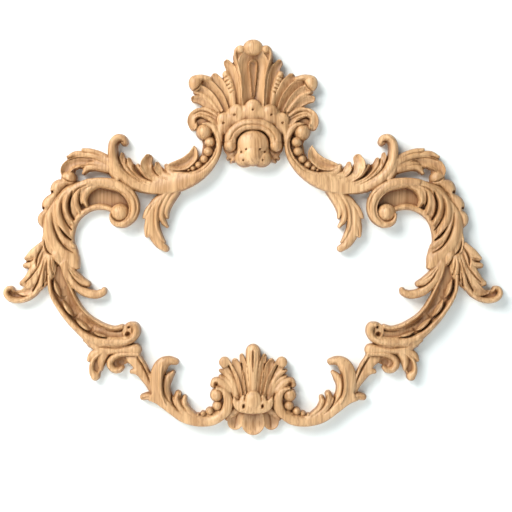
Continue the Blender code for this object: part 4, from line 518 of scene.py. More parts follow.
def lower_leaf(c):
    """The spread leaf at the widest point, with its curled tip."""
    c.ground([(205, 243), (215.3, 244), (223, 253.6), (229, 257.4), (229, 262), (231, 265.4), (226, 269),
        (219.8, 267), (221, 271), (227.5, 278), (234, 281), (234, 285.4), (228, 288), (221, 290),
        (217.2, 288), (214.7, 290.4), (210.2, 287.6), (206.3, 281.7), (205, 278.5), (203.8, 279.6),
        (200.6, 277), (198.7, 271), (198.3, 264.5), (194.8, 265.6), (191.4, 263), (197, 253)], 0.46)
    c.limb([(207, 252), (214, 268), (220, 279), (226.6, 286.6)], (3, 5, 5.6, 3.6), (0.42, 0.6, 0.52),
        bow=0.2)
    c.limb([(207, 240), (216.4, 249.4), (222.6, 254.6), (228.4, 258.4)], (3, 4.8, 4.6, 2.4),
        (0.44, 0.62, 0.62, 0.58), bow=0.2, lean=0.15)
    c.limb([(207, 246), (216, 258.4), (222, 264.4), (229.6, 265.8)], (3, 5, 4.8, 2.8),
        (0.44, 0.62, 0.62, 0.56), bow=0.2, lean=0.15)
    c.limb([(207, 250), (216.8, 267), (224.6, 278), (232.6, 283.4)], (3, 6, 5.6, 3),
        (0.44, 0.66, 0.64, 0.54), bow=0.2, lean=0.15)
    c.ground([(218, 278), (226, 286.6), (234, 290.2), (241, 290.6), (247, 288), (250, 294), (244, 300),
        (232, 300), (222, 294)], 0.36, dish=0.3, rim=5)
    c.limb([(208, 256), (213.8, 274), (220.6, 285), (229, 291.6), (236, 293)], (3, 6.6, 6.4, 4.6, 1.6),
        (0.44, 0.62, 0.56, 0.42), bow=-0.2)
    c.limb([(213, 284), (220, 293.4), (229, 299.2), (237.6, 300.8), (245, 299), (249, 293.8), (247.6, 289),
        (243.4, 288.2), (241.6, 290.8)], (1.8, 2.6, 2.8, 2.8, 3, 3, 2.6, 2, 1.4), (0.54, 0.6, 0.6, 0.58),
        bow=0.3)
    c.limb([(205.6, 250), (210.6, 267), (214.8, 289)], (3, 6, 1.8), (0.44, 0.66, 0.54), bow=0.2)
    c.limb([(204, 248), (205.4, 263), (203.6, 278)], (3, 5.8, 1.8), (0.44, 0.66, 0.54), bow=0.2)
    c.limb([(202.6, 247), (198.6, 256), (194.2, 264.6)], (3, 4.8, 1.8), (0.44, 0.62, 0.52), bow=0.2)
    c.cut([(210.4, 240), (209.4, 247), (207, 252), (203.4, 254.8)], (1, 1.6, 1.8, 1),
        (0.06, 0.18, 0.24, 0.12))
    c.cut([(211.6, 246), (215.4, 253), (217.8, 259), (217.8, 266)], (1, 1.8, 2.4, 1.4),
        (0.04, 0.18, 0.26, 0.1))
    c.vein([(219, 256.6), (223, 261), (229, 262.2)], (1, 1.6, 1.3), (0.04, 0.14, 0.16))
    c.vein([(211, 252), (216, 266), (223, 276), (229, 282)], (1, 1.6, 1.6, 1), (0.04, 0.16, 0.16))
    c.vein([(209, 257), (212.6, 270), (217, 282), (221.6, 291)], (0.9, 1.5, 1.5, 1.2), (0.03, 0.16, 0.2))
    c.vein([(207, 258), (209.4, 270), (211.6, 286)], (0.9, 1.4, 1.1), (0.02, 0.14, 0.18))
    c.vein([(205.8, 257), (208, 268), (207.4, 281)], (0.9, 1.4, 1.3), (0.02, 0.14, 0.2))
    c.vein([(203.4, 257), (203.4, 266), (201.4, 275)], (0.8, 1.3, 1), (0.02, 0.11, 0.12))
    c.vein([(201.6, 256), (199.6, 262), (197.4, 266)], (0.9, 1.3, 1), (0.02, 0.1, 0.14))


def tendrils(c):
    """The two tendrils that curl into the opening."""
    c.limb([(190, 262), (187, 268), (181.6, 275), (174.6, 280.6), (167.2, 284)], (4, 4.8, 5.2, 4.8, 3.2),
        (0.56, 0.48), bow=0.25)
    c.limb([(191, 264), (188, 271), (184.5, 278), (178, 286), (169, 292.6), (159, 294.6), (152.4, 292.4),
        (150.8, 290)], (4, 4.6, 5, 4.8, 4.6, 4.4, 3.8, 2.8), (0.56, 0.5), bow=0.2)
    c.cut([(186, 270), (181, 279), (174, 285.6), (168, 288)], (1, 1.5, 1.4, 1),
        (0.06, 0.16, 0.2, 0.16))
    c.vein([(185, 268), (179, 275.6), (171, 281)], (0.8, 1.2, 0.8), (0.03, 0.06, 0.03))


def lower_band(c):
    """The channelled band with its row of long husks, and the scroll that ends it."""
    outer = [(207.5, 280), (206.7, 290), (202.2, 301.7), (193.2, 315.8), (180.4, 330), (170, 338),
        (150, 346), (132, 345), (122, 338)]
    inner = [(190, 266), (185, 284), (177.2, 300.5), (167, 314.5), (154, 323.7), (147.7, 326.4),
        (141.7, 327), (134, 326), (124, 330)]
    c.ribbon(outer, inner, (0.23, 0.25, 0.4), bow=0, lean=(-0.3, -0.3, -0.1))
    c.limb([(205.6, 276), (204.4, 290), (200, 301), (193.5, 311), (186, 320.4), (176, 330), (166, 337.6),
        (154, 341.6), (140, 342.2), (129, 341), (121.6, 337.4), (118.2, 331.4), (119.6, 326),
        (124, 324.8)], (2.2, 2.4, 2.6, 2.8, 3.2, 4, 5, 5.6, 5.2, 4.8, 4.4, 4.2, 3.8, 2.8),
        (0.6, 0.64, 0.66, 0.64), bow=0.3)
    c.limb([(193, 264), (189, 278), (184.4, 288), (179, 299), (173, 308.6), (166, 316), (156, 322.8),
        (148, 326.6), (140, 328.4), (132.8, 327)], (2.6, 2, 1.7, 1.7, 1.7, 1.7, 2, 2.2, 2.4, 2.8),
        (0.54, 0.54, 0.58), bow=0.3)
    for points, half_width in (([(200.4, 280), (198.8, 286), (196.8, 291.6), (194.2, 297)], 2.9),
            ([(191.8, 300.4), (188.8, 306.4), (185.4, 311.6), (181.6, 316)], 3.3), ([(178.8, 318.8),
            (174.4, 323.4), (169.8, 327.4), (165, 330.6)], 3.3), ([(162, 331.8), (157.6, 334),
            (152.6, 335.8), (147, 336.8)], 2)):
        widths = half_width * np.array(HUSK_SHAPE)
        c.limb(points, widths, (0.6, 0.72, 0.6), bow=0.5)
    c.cut([(203, 281), (200.6, 292), (195, 303.4), (187, 314), (178.6, 323.2), (169, 331.4), (159, 336.2),
        (148, 338.2)], (1.5, 1.8, 1.4), (0.3, 0.3, 0.16), floor=0.16)
    c.vein([(194.4, 299.6), (191.6, 298.2), (188.4, 296)], (1.4, 2.2, 1.4), (0.02, 0.07, 0.03))
    c.vein([(181.8, 318.8), (179, 316.8), (176, 313.8)], (1.4, 2.2, 1.4), (0.02, 0.07, 0.03))
    c.vein([(165.4, 332.6), (163, 330), (161, 326.6)], (1.4, 2.2, 1.4), (0.02, 0.07, 0.03))
    c.vein([(189, 288), (183.6, 301.6), (175.6, 312.4)], (2.6, 3.8, 3), (0.04, 0.12, 0.06), floor=0.14)
    c.vein([(173, 316), (164.6, 323), (154, 329)], (2.6, 3.6, 2), (0.04, 0.12, 0.04), floor=0.16)
    c.cut([(152, 330), (143, 331.6), (134, 331), (130.4, 328)], (1, 1.6, 1.8, 1.4), (0.02, 0.1, 0.16))
    c.ball(123.4, 331.6, 8.8, 9.8, 0.5, 0.92)
    c.cut([(136, 338.6), (127, 338.6), (122.6, 334), (122.6, 329)], (1.2, 1.6, 1.6, 1.2),
        (0.02, 0.1, 0.08))
    c.scoop(126.8, 334.4, 3, 3, 0.22, floor=0.24)
    c.scoop(125.8, 327.4, 1.5, 1.4, 0.16, floor=0.26)


def foot_leaf(c):
    """The leaf under the band's scroll and the stem that joins it to the lower S-scroll."""
    c.ground([(172, 336), (169.6, 341), (167, 347), (162, 349.6), (160, 352), (164, 355), (163.6, 362),
        (164, 372), (155.6, 373), (152, 369), (149.6, 361), (147, 366), (140, 371), (134, 370), (131, 365),
        (127, 363.4), (122.4, 366), (114, 356), (116, 346), (124, 342), (150, 338)], 0.32)
    c.limb([(169, 340), (158, 346), (148, 349.4), (138, 350), (126, 350), (119.4, 350)],
        (3, 5.4, 5.2, 4.4, 4.8, 6.2), (0.54, 0.58, 0.58), bow=0.2)
    c.vein([(160, 347), (149, 347.6), (138, 348.4), (124, 346)], (0.8, 1.5, 1.6, 1),
        (0, 0.1, 0.1, 0.04))
    c.limb([(150, 351), (158, 353), (163.4, 356.4), (166, 360.2)], (4, 4.4, 3.8, 2.2), (0.56, 0.48),
        bow=0.2)
    c.limb([(149, 353), (152.6, 358), (153.8, 364), (153.4, 370)], (4, 4.4, 3.6, 1.5), (0.54, 0.46),
        bow=0.2)
    c.ground([(148, 350), (156, 354), (162, 359), (164, 367), (163, 376), (156, 377), (153.6, 371.6),
        (151, 367), (148.4, 361)], 0.34, dish=0.3, rim=5)
    c.limb([(149, 351.6), (155.6, 354.4), (160.8, 359), (163.4, 365.4), (163, 372), (159.8, 376.4)],
        (2.6, 2.4, 2.3, 2.4, 3.2, 4.8), (0.54, 0.54, 0.52), bow=0.3)
    c.limb([(149.6, 356), (151.6, 362), (154.4, 368.6), (156.4, 373.6)], (2.4, 2.2, 1.8, 1.2), (0.46, 0.4),
        bow=0.3)
    c.limb([(116.6, 354.6), (126, 354), (136, 355), (143, 359.4), (144.8, 365), (141, 370), (135.6, 370.4),
        (132.6, 368)], (2.4, 2.8, 3, 3.4, 3.6, 3.4, 3, 2.2), (0.6, 0.56), bow=0.3)
    c.scoop(133.6, 362.6, 4.8, 4.6, 0.14, floor=0.2)
    c.plate([(130, 357.4), (120, 355), (114, 356), (111, 362), (107, 370), (104.4, 378), (100, 390),
        (103, 394), (108, 387), (113, 380.4), (119, 375), (124.4, 373.6), (124.6, 370.4), (120.6, 368),
        (123.6, 365.4)], 0.44, dish=-0.1)
    c.limb([(125, 360), (118, 364), (112, 373), (106, 382), (101.6, 391)], (3.4, 5.6, 6, 5, 4),
        (0.52, 0.5), bow=0.2, lean=0.2)
    c.limb([(116, 356), (110.4, 365), (105.4, 376), (102, 386)], (1.6, 2, 2, 2), (0.54, 0.54), bow=0.2)
    c.vein([(117.4, 358), (111.6, 367), (106.6, 377), (103.4, 385)], (1.2, 1.7, 1.5, 1),
        (0.1, 0.16, 0.1, 0))


def lower_scroll(c):
    """The lower S-scroll: upright leaf, band, flutes, boss and pearls."""
    outer = [(106, 401), (99.6, 403.4), (94.4, 407), (85.3, 414), (74.8, 421.5), (64.4, 425.4), (52, 427),
        (39.8, 425.2), (30.4, 419.6), (24.2, 413), (21.6, 404), (23.6, 394.6), (29.6, 388.2),
        (38.4, 386.8)]
    inner = [(96, 378), (86, 392), (78, 402), (67.6, 409.6), (61, 413.4), (50, 416.4), (41, 415.4),
        (34.4, 411), (31, 403), (31.7, 395.6), (34.4, 391.4), (39, 390)]
    c.ribbon(outer, inner, (0.6, 0.64, 0.66, 0.66), bow=0.12, lean=(0.1, 0.1, 0, 0))
    c.limb([(87.6, 406), (95, 396), (97.4, 382), (95.8, 371), (91.6, 364), (85.4, 361), (79, 362)], (2.4,
        6, 7.2, 7.4, 6.6, 4.6, 3.4), (0.58, 0.66, 0.66, 0.6), bow=0.2, lean=-0.1)
    c.limb([(89, 359), (93, 367), (94.6, 380), (93.8, 393), (89, 404)], (1.6, 3, 3.4, 3, 1.6),
        (0.64, 0.72, 0.7), bow=0.3, lean=-0.1)
    c.limb([(81.6, 373), (85.4, 377.6), (88, 385), (87.6, 393), (84.4, 400), (78, 408)],
        (2.4, 4.2, 3.8, 3.8, 4, 4), (0.5, 0.6, 0.62), lean=0.2)
    c.cut([(86.4, 369.4), (90.6, 376), (91.8, 386), (89.6, 395.6), (83.6, 403.6), (76, 410)],
        (1.6, 1.8, 1.8, 1.8, 1.4, 1), (0.2, 0.2, 0.16, 0.14, 0.08, 0))
    c.limb([(111.8, 397.4), (106, 396.6), (99, 399.4), (92, 403)], (3.4, 4.2, 4.2, 3), (0.5, 0.6),
        lean=0.1)
    c.cut([(113, 399), (107, 397.4), (101, 399.4)], (1, 1.4, 0.9), (0.08, 0.06, 0), sharp=1.3)
    c.limb([(76.6, 394), (78, 399.6), (75.6, 406.6), (69.6, 413.4), (60, 419)], (3.4, 3.8, 4, 3.6, 3),
        (0.56, 0.66, 0.64), lean=-0.15)
    c.limb([(70, 397.6), (70.8, 403), (67.4, 410), (58, 417.4)], (2.6, 3.6, 3.8, 3), (0.52, 0.64, 0.64),
        lean=-0.15)
    c.cut([(82.4, 391), (83, 400), (78.6, 408.4), (71, 415.4)], (1.6, 2.2, 1.8, 1),
        (0.26, 0.26, 0.12, 0))
    c.vein([(75, 392), (75.4, 399), (72, 406.4), (65, 413)], (0.9, 1.3, 1.3, 0.9), (0.05, 0.1, 0.08, 0))
    c.cut([(36.4, 391.6), (33, 397), (33.2, 404), (37, 410.6), (44, 415.4), (53, 417.6)], (1.1, 1.3, 1),
        (0.08, 0.08, 0.03), sharp=1.3)
    c.ground([(42, 392), (40, 387), (30, 390), (20, 394), (16, 412), (30, 412), (36, 411), (50, 416),
        (60, 415), (50, 411.6), (41, 406), (40.4, 398)], 0.32)
    c.ball(38.2, 395.2, 6.6, 6.8, 0.66, 0.5)
    pearls = ((37.2, 406.2, 5.2), (45, 411.6, 4.2), (51.5, 414, 3), (56.6, 415, 2))
    for across, down, radius in pearls:
        c.ball(across, down, radius, radius, 0.6, 0.5)


def shell(c):
    """The shell at the foot: a small fan, a bowl with scallops and five petals."""
    c.ground([(0, 358), (10, 360), (20, 366), (28, 370), (34, 380), (28, 400), (0, 402)], 0.36,
        both_halves=True)
    c.limb([(0, 352.4), (0, 360), (0, 372), (0, 395)], (8.2, 8, 6.6, 5), (0.62, 0.66), bow=0.25)
    c.cut([(0, 351), (0, 356), (0, 362), (0, 372)], (1.2, 1.9, 1.7, 0.8), (0.1, 0.2, 0.16, 0.04))
    c.vein([(4, 353), (3.4, 362), (2, 374)], (0.9, 1.3, 0.9), (0.05, 0.05, 0))
    c.limb([(12.6, 356.4), (10.6, 365), (8.8, 378), (7, 392)], (2.4, 3.8, 3.6, 3), (0.54, 0.64), bow=-0.12,
        lean=-0.2)
    c.limb([(19.6, 362), (16.8, 369), (13.6, 379), (11, 393)], (3.2, 4.8, 4.2, 3.4), (0.54, 0.64),
        bow=-0.16, lean=-0.2)
    c.cut([(13, 364), (12, 371), (11, 382)], (1.4, 1.6, 1), (0.24, 0.14, 0.03))
    c.ball(30.2, 362.4, 5.4, 5.2, 0.6, 0.84)
    c.limb([(30, 362.4), (25, 370), (19.6, 380), (15, 394)], (5.2, 5, 4.4, 3.6), (0.6, 0.64), bow=-0.16,
        lean=-0.2)
    c.cut([(26, 366), (22.4, 373), (17.6, 384)], (1.4, 1.6, 1), (0.22, 0.12, 0.03))
    c.limb([(34.4, 371), (28.6, 374), (22.6, 382), (18, 394)], (1.6, 4, 4, 3.4), (0.5, 0.6), lean=-0.15)
    c.limb([(34, 377.4), (28.6, 381), (22.6, 388), (18, 399)], (2.4, 4.2, 4.4, 4.4), (0.5, 0.6),
        lean=-0.15)
    c.limb([(41.4, 385), (39.4, 381.6), (33, 383.4), (26, 391)], (3.2, 3.8, 4.6, 4.4), (0.52, 0.56),
        bow=0.2)
    c.scoop(38.4, 384.4, 2.7, 3, 0.14)
    c.plate([(0, 391), (5, 392.4), (7.8, 396.4), (10.4, 394.8), (13.6, 397), (15.6, 400.4), (20.6, 397),
        (21.4, 404), (18, 410), (11, 413), (0, 413.6)], 0.72, dish=-0.08, rim=6, both_halves=True)
    c.ball(0, 400.6, 9.4, 10, 0.86, 0.82)
    c.ball(0, 405.8, 19.6, 7.8, 0.8, 0.9)
    c.vein([(8, 395), (9.4, 399), (9.6, 402)], (1, 1.4, 1), (0.05, 0.08, 0.03))
    c.scoop(10.4, 406, 1.8, 2.7, 0.2)
    c.limb([(13, 408), (17.2, 415), (19.4, 422.6)], (4.4, 7.2, 7.8), (0.46, 0.42, 0.36), bow=-0.3,
        edge=0.9)
    c.limb([(18, 410), (24, 414.6), (27.6, 419.6)], (5, 4.6, 2), (0.46, 0.4))
    c.limb([(0, 408), (0, 415), (0, 422.6)], (7.6, 10.8, 13), (0.52, 0.46, 0.38), bow=-0.3, edge=0.9)
    c.vein([(16, 412), (18.4, 419), (19.6, 428)], (0.8, 1.3, 0.9), (0.03, 0.06, 0.05))


SECTIONS = (crown, collar, upper_scroll, hanging_leaf, shoulder_leaf, husks, side_scroll, acanthus,
            lower_leaf, tendrils, lower_band, foot_leaf, lower_scroll, shell)


def squares_to_metres():
    return PANEL_WIDTH / SHEET_WIDTH


def carve(across, down):
    """Height in shares of the relief, and how far inside the outline in squares."""
    carving = Carving(np.abs(across), down)
    for section in SECTIONS:
        section(carving)
    least = THINNEST_WOOD / RELIEF_DEPTH
    return np.maximum(carving.height, least), carving.inside


def sheet_reach():
    """How far the strokes reach across and down the sheet."""
    drawn = Carving(np.zeros(0), np.zeros(0))
    for section in SECTIONS:
        section(drawn)
    return drawn.reach


def sheet_grid():
    """Grid over the whole sheet, carved on the left half and mirrored."""
    across, top, bottom = sheet_reach()
    half = np.arange(0, across + CELL, CELL)
    down = np.arange(top - CELL, bottom + CELL, CELL)
    grid_across, grid_down = np.meshgrid(half, down)
    height, inside = carve(grid_across.ravel(), grid_down.ravel())
    height, inside = height.reshape(grid_across.shape), inside.reshape(grid_across.shape)
    mirrored = [np.hstack([field[:, :0:-1], field]) for field in (height, inside)]
    x = np.concatenate([-half[:0:-1], half])
    return x, down, mirrored[0], mirrored[1]


def contour_rings(x, y, field):
    """Closed rings where the field is zero, each as an array of points."""
    field = np.where(np.abs(field) < 1e-6, 1e-6, field)
    solid = field > 0
    links = {}

    def crossing(i, j, horizontal):
        other = (i, j + 1) if horizontal else (i + 1, j)
        t = field[i, j] / (field[i, j] - field[other])
        return (x[j] + t * CELL, y[i]) if horizontal else (x[j], y[i] + t * CELL)

    corners = solid[:-1, :-1].astype(int) + solid[:-1, 1:] + solid[1:, :-1] + solid[1:, 1:]
    for i, j in zip(*np.nonzero((corners > 0) & (corners < 4))):
        top, bottom = (i, j, True), (i + 1, j, True)
        left, right = (i, j, False), (i, j + 1, False)
        marks = (solid[i, j], solid[i, j + 1], solid[i + 1, j + 1], solid[i + 1, j])
        sides = (top, right, bottom, left)
        cut = [k for k in range(4) if marks[k] != marks[(k + 1) % 4]]
        if len(cut) == 2:
            pairs = [cut]
        else:
            centre = field[i, j] + field[i, j + 1] + field[i + 1, j] + field[i + 1, j + 1] > 0
            pairs = [[0, 1], [2, 3]] if centre == marks[0] else [[3, 0], [1, 2]]
        for first, second in pairs:
            links.setdefault(sides[first], []).append(sides[second])
            links.setdefault(sides[second], []).append(sides[first])
    rings, seen = [], set()
    for start in links:
        if start in seen:
            continue
        ring, here, previous = [], start, None
        while here not in seen:
            seen.add(here)
            ring.append(crossing(*here))
            ahead = [link for link in links[here] if link != previous]
            previous, here = here, ahead[0]
        rings.append(np.array(ring))
    return rings


def ring_area(ring):
    """The area inside a ring, below 0 where the ring runs the other way round."""
    nxt = np.roll(ring, -1, axis=0)
    return 0.5 * np.sum(ring[:, 0] * nxt[:, 1] - nxt[:, 0] * ring[:, 1])


def thinned(ring, slack):
    """The ring with only the points it needs to stay within the slack of itself."""
    far = int(np.argmax(np.hypot(*(ring - ring[0]).T)))
    keep = np.zeros(len(ring) + 1, bool)
    keep[[0, far, len(ring)]] = True
    closed = np.vstack([ring, ring[:1]])
    spans = [(0, far), (far, len(ring))]
    while spans:
        first, last = spans.pop()
        if last - first < 2:
            continue
        chord = closed[last] - closed[first]
        offset = closed[first + 1:last] - closed[first]
        length = np.hypot(*chord)
        if length > 0:
            distance = np.abs(chord[0] * offset[:, 1] - chord[1] * offset[:, 0]) / length
        else:
            distance = np.hypot(*offset.T)
        worst = int(np.argmax(distance))
        if distance[worst] > slack:
            middle = first + 1 + worst
            keep[middle] = True
            spans += [(first, middle), (middle, last)]
    return closed[:-1][keep[:-1]]


def outline(x, y, inside):
    """The wood's outer ring and the rings of its openings."""
    rings = [ring for ring in contour_rings(x, y, inside) if abs(ring_area(ring)) > SMALLEST_ISLAND]
    rings = [thinned(ring, CONTOUR_SLACK) for ring in rings]
    return sorted(rings, key=lambda ring: -abs(ring_area(ring)))


def averaged(field, reach):
    """The field's mean over a square window, out to the reach in cells on each side."""
    for axis in (0, 1):
        margins = [(reach + 1, reach) if k == axis else (0, 0) for k in (0, 1)]
        padded = np.pad(field, margins, mode="edge")
        total = np.cumsum(padded, axis=axis)
        count = field.shape[axis]
        ahead = np.take(total, range(2 * reach + 1, 2 * reach + 1 + count), axis=axis)
        behind = np.take(total, range(0, count), axis=axis)
        field = (ahead - behind) / (2 * reach + 1)
    return field


def sampled(x, y, field, points):
    """The field at places between the grid's."""
    j = np.clip((points[:, 0] - x[0]) / CELL, 0, len(x) - 1.001)
    i = np.clip((points[:, 1] - y[0]) / CELL, 0, len(y) - 1.001)
    j0, i0 = j.astype(int), i.astype(int)
    u, v = j - j0, i - i0
    top = field[i0, j0] * (1 - u) + field[i0, j0 + 1] * u
    bottom = field[i0 + 1, j0] * (1 - u) + field[i0 + 1, j0 + 1] * u
    return top * (1 - v) + bottom * v


def painted_shade_mask(height, inside):
    """How deep each place lies below the wood around it, from 0 to 1: the mask of the painted shade."""
    wood_here = (inside > 0).astype(float)
    deep = np.zeros(height.shape)
    for reach, share in PAINTED_SHADE_REACHES:
        around = averaged(averaged(height * wood_here, reach), reach)
        weight = averaged(averaged(wood_here, reach), reach)
        around = around / np.maximum(weight, 1e-6)
        deep += share * np.clip((around - height) / PAINTED_SHADE_DEPTH, 0, 1)
    return deep


def chosen_points(height, inside):
    """Grid places for the mesh: a loose grid, and every place where the form turns sharply."""
    wood_here = inside > EDGE_CLEARANCE
    bend = np.zeros(height.shape)
    bend[1:-1, 1:-1] = np.maximum(np.abs(height[1:-1, 2:] + height[1:-1, :-2] - 2 * height[1:-1, 1:-1]),
                                  np.abs(height[2:, 1:-1] + height[:-2, 1:-1] - 2 * height[1:-1, 1:-1]))
    bend = np.maximum(bend, BEND_BESIDE * averaged(bend, 1))
    loose = np.zeros(height.shape, bool)
    middle = height.shape[1] // 2
    loose[::2, middle % 2::2] = True
    loose &= wood_here
    rest = INNER_POINTS - loose.sum()
    others = np.where(wood_here & ~loose, bend, 0)
    least = np.partition(others.ravel(), -rest)[-rest]
    return loose | (others > max(least, 1e-9))


def in_wood(places, x, y, inside, rings):
    """Whether each place lies in the wood: read off the grid, and close to an edge from the rings."""
    depth = sampled(x, y, inside, places)
    found = depth > 0
    close = np.flatnonzero(np.abs(depth) < NEAR_EDGE)
    exact = np.zeros(len(close), bool)
    for ring in rings:
        exact ^= enclosed(places[close, 0], places[close, 1], ring[:, 0], ring[:, 1])
    found[close] = exact
    return found


def triangles(points, x, y, inside, rings):
    """Triangles over the wood, their corners as places in the list of points."""
    edges, start = [], 0
    for ring in rings:
        edges += [(start + k, start + (k + 1) % len(ring)) for k in range(len(ring))]
        start += len(ring)
    made = delaunay_2d_cdt([Vector(point) for point in points], edges, [], 0, 1e-7)
    first = np.array([origin[0] for origin in made[3]])
    faces = first[np.array(made[2])]
    return faces[in_wood(points[faces].mean(axis=1), x, y, inside, rings)]


def turned(points, faces):
    """The triangles all facing the front."""
    a, b, c = (points[faces[:, k]] for k in range(3))
    area = (b[:, 0] - a[:, 0]) * (c[:, 1] - a[:, 1]) - (c[:, 0] - a[:, 0]) * (b[:, 1] - a[:, 1])
    return np.where((area < 0)[:, None], faces[:, ::-1], faces)


def carved_mesh():
    """The finely carved body: front, upright edges and flat back."""
    x, y, height, inside = sheet_grid()
    rings = outline(x, y, inside)
    ring_points = np.vstack(rings)
    ring_heights, _ = carve(ring_points[:, 0], ring_points[:, 1])
    spots = np.argwhere(chosen_points(height, inside))
    points = np.vstack([ring_points, np.column_stack([x[spots[:, 1]], y[spots[:, 0]]])])
    heights = np.concatenate([ring_heights, height[spots[:, 0], spots[:, 1]]])
    front = triangles(points, x, y, inside, rings)
    back = triangles(ring_points, x, y, inside, rings)
    square = squares_to_metres()
    depths = heights * RELIEF_DEPTH / square
    places = np.column_stack([points[:, 0], -depths, MOUNT_DOWN - points[:, 1]]) * square
    flat = np.column_stack([places[:, 0], places[:, 2]])
    front, back = turned(flat, front), turned(flat, back)
    shift = len(places)
    vertices = np.vstack([places, places[:len(ring_points)] * (1, 0, 1)])
    directed = {(p, q) for face in front.tolist() for p, q in zip(face, face[1:] + face[:1])}
    edge = sorted((p, q) for p, q in directed if (q, p) not in directed)
    walls = [(q, p, p + shift, q + shift) for p, q in edge]
    faces = front.tolist() + (back[:, ::-1] + shift).tolist() + walls
    mesh = bpy.data.meshes.new("carved_relief")
    mesh.from_pydata(vertices.tolist(), [], faces)
    mesh.validate()
    # Painted shade: each point's depth in a recess, kept as the 'hollow' attribute that darkens the wood;
    # none on the back.
    deep = sampled(x, y, painted_shade_mask(height, inside), points)
    deep = np.concatenate([deep, np.zeros(len(ring_points))])
    hollow = mesh.attributes.new("hollow", "FLOAT", "POINT")
    hollow.data.foreach_set("value", deep.astype(np.float32))
    mesh.shade_smooth()
    mesh.set_sharp_from_angle(angle=SHARP_ANGLE)
    return mesh


class Nodes:
    """The shader nodes of one material, linked or set as they are added."""

    def __init__(self, material):
        material.use_nodes = True
        self.tree = material.node_tree
        self.shader = self.tree.nodes["Principled BSDF"]

    def put(self, socket, value):
        if isinstance(value, bpy.types.NodeSocket):
            self.tree.links.new(value, socket)
        else:
            socket.default_value = value

    def add(self, kind, inputs=(), **settings):
        made = self.tree.nodes.new("ShaderNode" + kind)
        for name, value in settings.items():
            setattr(made, name, value)
        for name, value in dict(inputs).items():
            self.put(made.inputs[name], value)
        return made.outputs

    def maths(self, operation, *values):
        return self.add("Math", dict(enumerate(values)), operation=operation)[0]

    def blended(self, how, share, first, second):
        return self.add("Mix", {0: share, 6: first, 7: second}, data_type="RGBA", blend_type=how)[2]

    def streaks(self, place, scale, stretch, detail):
        """Noise drawn out along the grain, which runs upright."""
        scales = (scale, scale, scale * stretch)
        drawn = self.add("VectorMath", {0: place, 1: scales}, operation="MULTIPLY")[0]
        return self.add("TexNoise", {"Vector": drawn, "Scale": 1.0, "Detail": detail})[0]

    def grain(self, place, scale, stretch, detail, low, high):
        """Streaks from 0 at the low level of the noise to 1 at the high one."""
        noise = self.streaks(place, scale, stretch, detail)
        return self.add("MapRange", {0: noise, 1: low, 2: high}, interpolation_type="SMOOTHSTEP")[0]


def pale_wood():
    """Upright grain that steps in tone from stave to stave, and painted shade that darkens the recesses.
    """
    material = bpy.data.materials.new("pale_wood")
    wood = Nodes(material)
    place = wood.add("TexCoord")["Object"]
    x, y, z = wood.add("SeparateXYZ", {0: place})
    stave = wood.maths("FLOOR", wood.maths("DIVIDE", wood.maths("ADD", x, STAVE_START), STAVE_WIDTH))
    chance = wood.add("TexWhiteNoise", {"W": stave}, noise_dimensions="1D")["Value"]
    wander = wood.maths("SUBTRACT", wood.streaks(place, *GRAIN_WANDER), 0.5)
    across = wood.maths("ADD", x, wood.maths("MULTIPLY", wander, GRAIN_SWAY))
    moved = wood.add("CombineXYZ", {0: across, 1: y, 2: wood.maths("ADD", z, chance)})[0]
    broad, middle, fine = (wood.grain(moved, *pattern) for pattern in GRAIN)
    colour = wood.blended("MIX", broad, LIGHT_WOOD, MIDDLE_WOOD)
    colour = wood.blended("MIX", wood.maths("MULTIPLY", middle, MIDDLE_GRAIN_SHARE), colour, DARK_WOOD)
    colour = wood.blended("MULTIPLY", wood.maths("MULTIPLY", fine, PORE_SHARE), colour, PORE_TINT)
    tones = [wood.maths("MULTIPLY_ADD", chance, span, least) for span, least in STAVE_TINT]
    colour = wood.blended("MULTIPLY", 1.0, colour, wood.add("CombineColor", dict(enumerate(tones)))[0])
    # Painted shade: the colour is multiplied towards the shade tint where the wood lies deep in a recess.
    hollow = wood.add("Attribute", attribute_name="hollow")["Fac"]
    colour = wood.blended("MULTIPLY", wood.maths("MULTIPLY", hollow, PAINTED_SHADE_STRENGTH), colour, PAINTED_SHADE_TINT)
    wood.put(wood.shader.inputs["Base Color"], colour)
    wood.put(wood.shader.inputs["Roughness"], WOOD_ROUGHNESS)
    wood.put(wood.shader.inputs["Specular IOR Level"], WOOD_SPECULAR)
    gouge = wood.add("TexNoise", {"Vector": place, "Scale": GOUGE_SCALE, "Detail": 1.0})[0]
    marks = wood.add("Bump", {"Height": gouge, "Strength": 0.32, "Distance": GOUGE_DEPTH})[0]
    pores = wood.maths("ADD", fine, middle)
    uneven = {"Height": pores, "Strength": 0.2, "Distance": PORE_DEPTH, "Normal": marks}
    wood.put(wood.shader.inputs["Normal"], wood.add("Bump", uneven)[0])
    return material


def paint(name, colour, roughness):
    """A plain dull paint for the room."""
    material = bpy.data.materials.new(name)
    painted = Nodes(material)
    painted.put(painted.shader.inputs["Base Color"], colour)
    painted.put(painted.shader.inputs["Roughness"], roughness)
    painted.put(painted.shader.inputs["Specular IOR Level"], PAINT_SPECULAR)
    return material


def clear_from_behind(material):
    """Let the back of a one-sided sheet be seen through."""
    nodes = Nodes(material)
    clear = nodes.add("BsdfTransparent")[0]
    behind = nodes.add("NewGeometry")["Backfacing"]
    mixed = nodes.add("MixShader", {0: behind, 1: nodes.shader.outputs[0], 2: clear})[0]
    nodes.put(nodes.tree.nodes["Material Output"].inputs["Surface"], mixed)


def added(name, mesh_or_light):
    made = bpy.data.objects.new(name, mesh_or_light)
    bpy.context.scene.collection.objects.link(made)
    return made


def sheet_of(name, corners, material):
    mesh = bpy.data.meshes.new(name)
    mesh.from_pydata(corners, [], [(0, 1, 2, 3)])
    mesh.materials.append(material)
    return added(name, mesh)


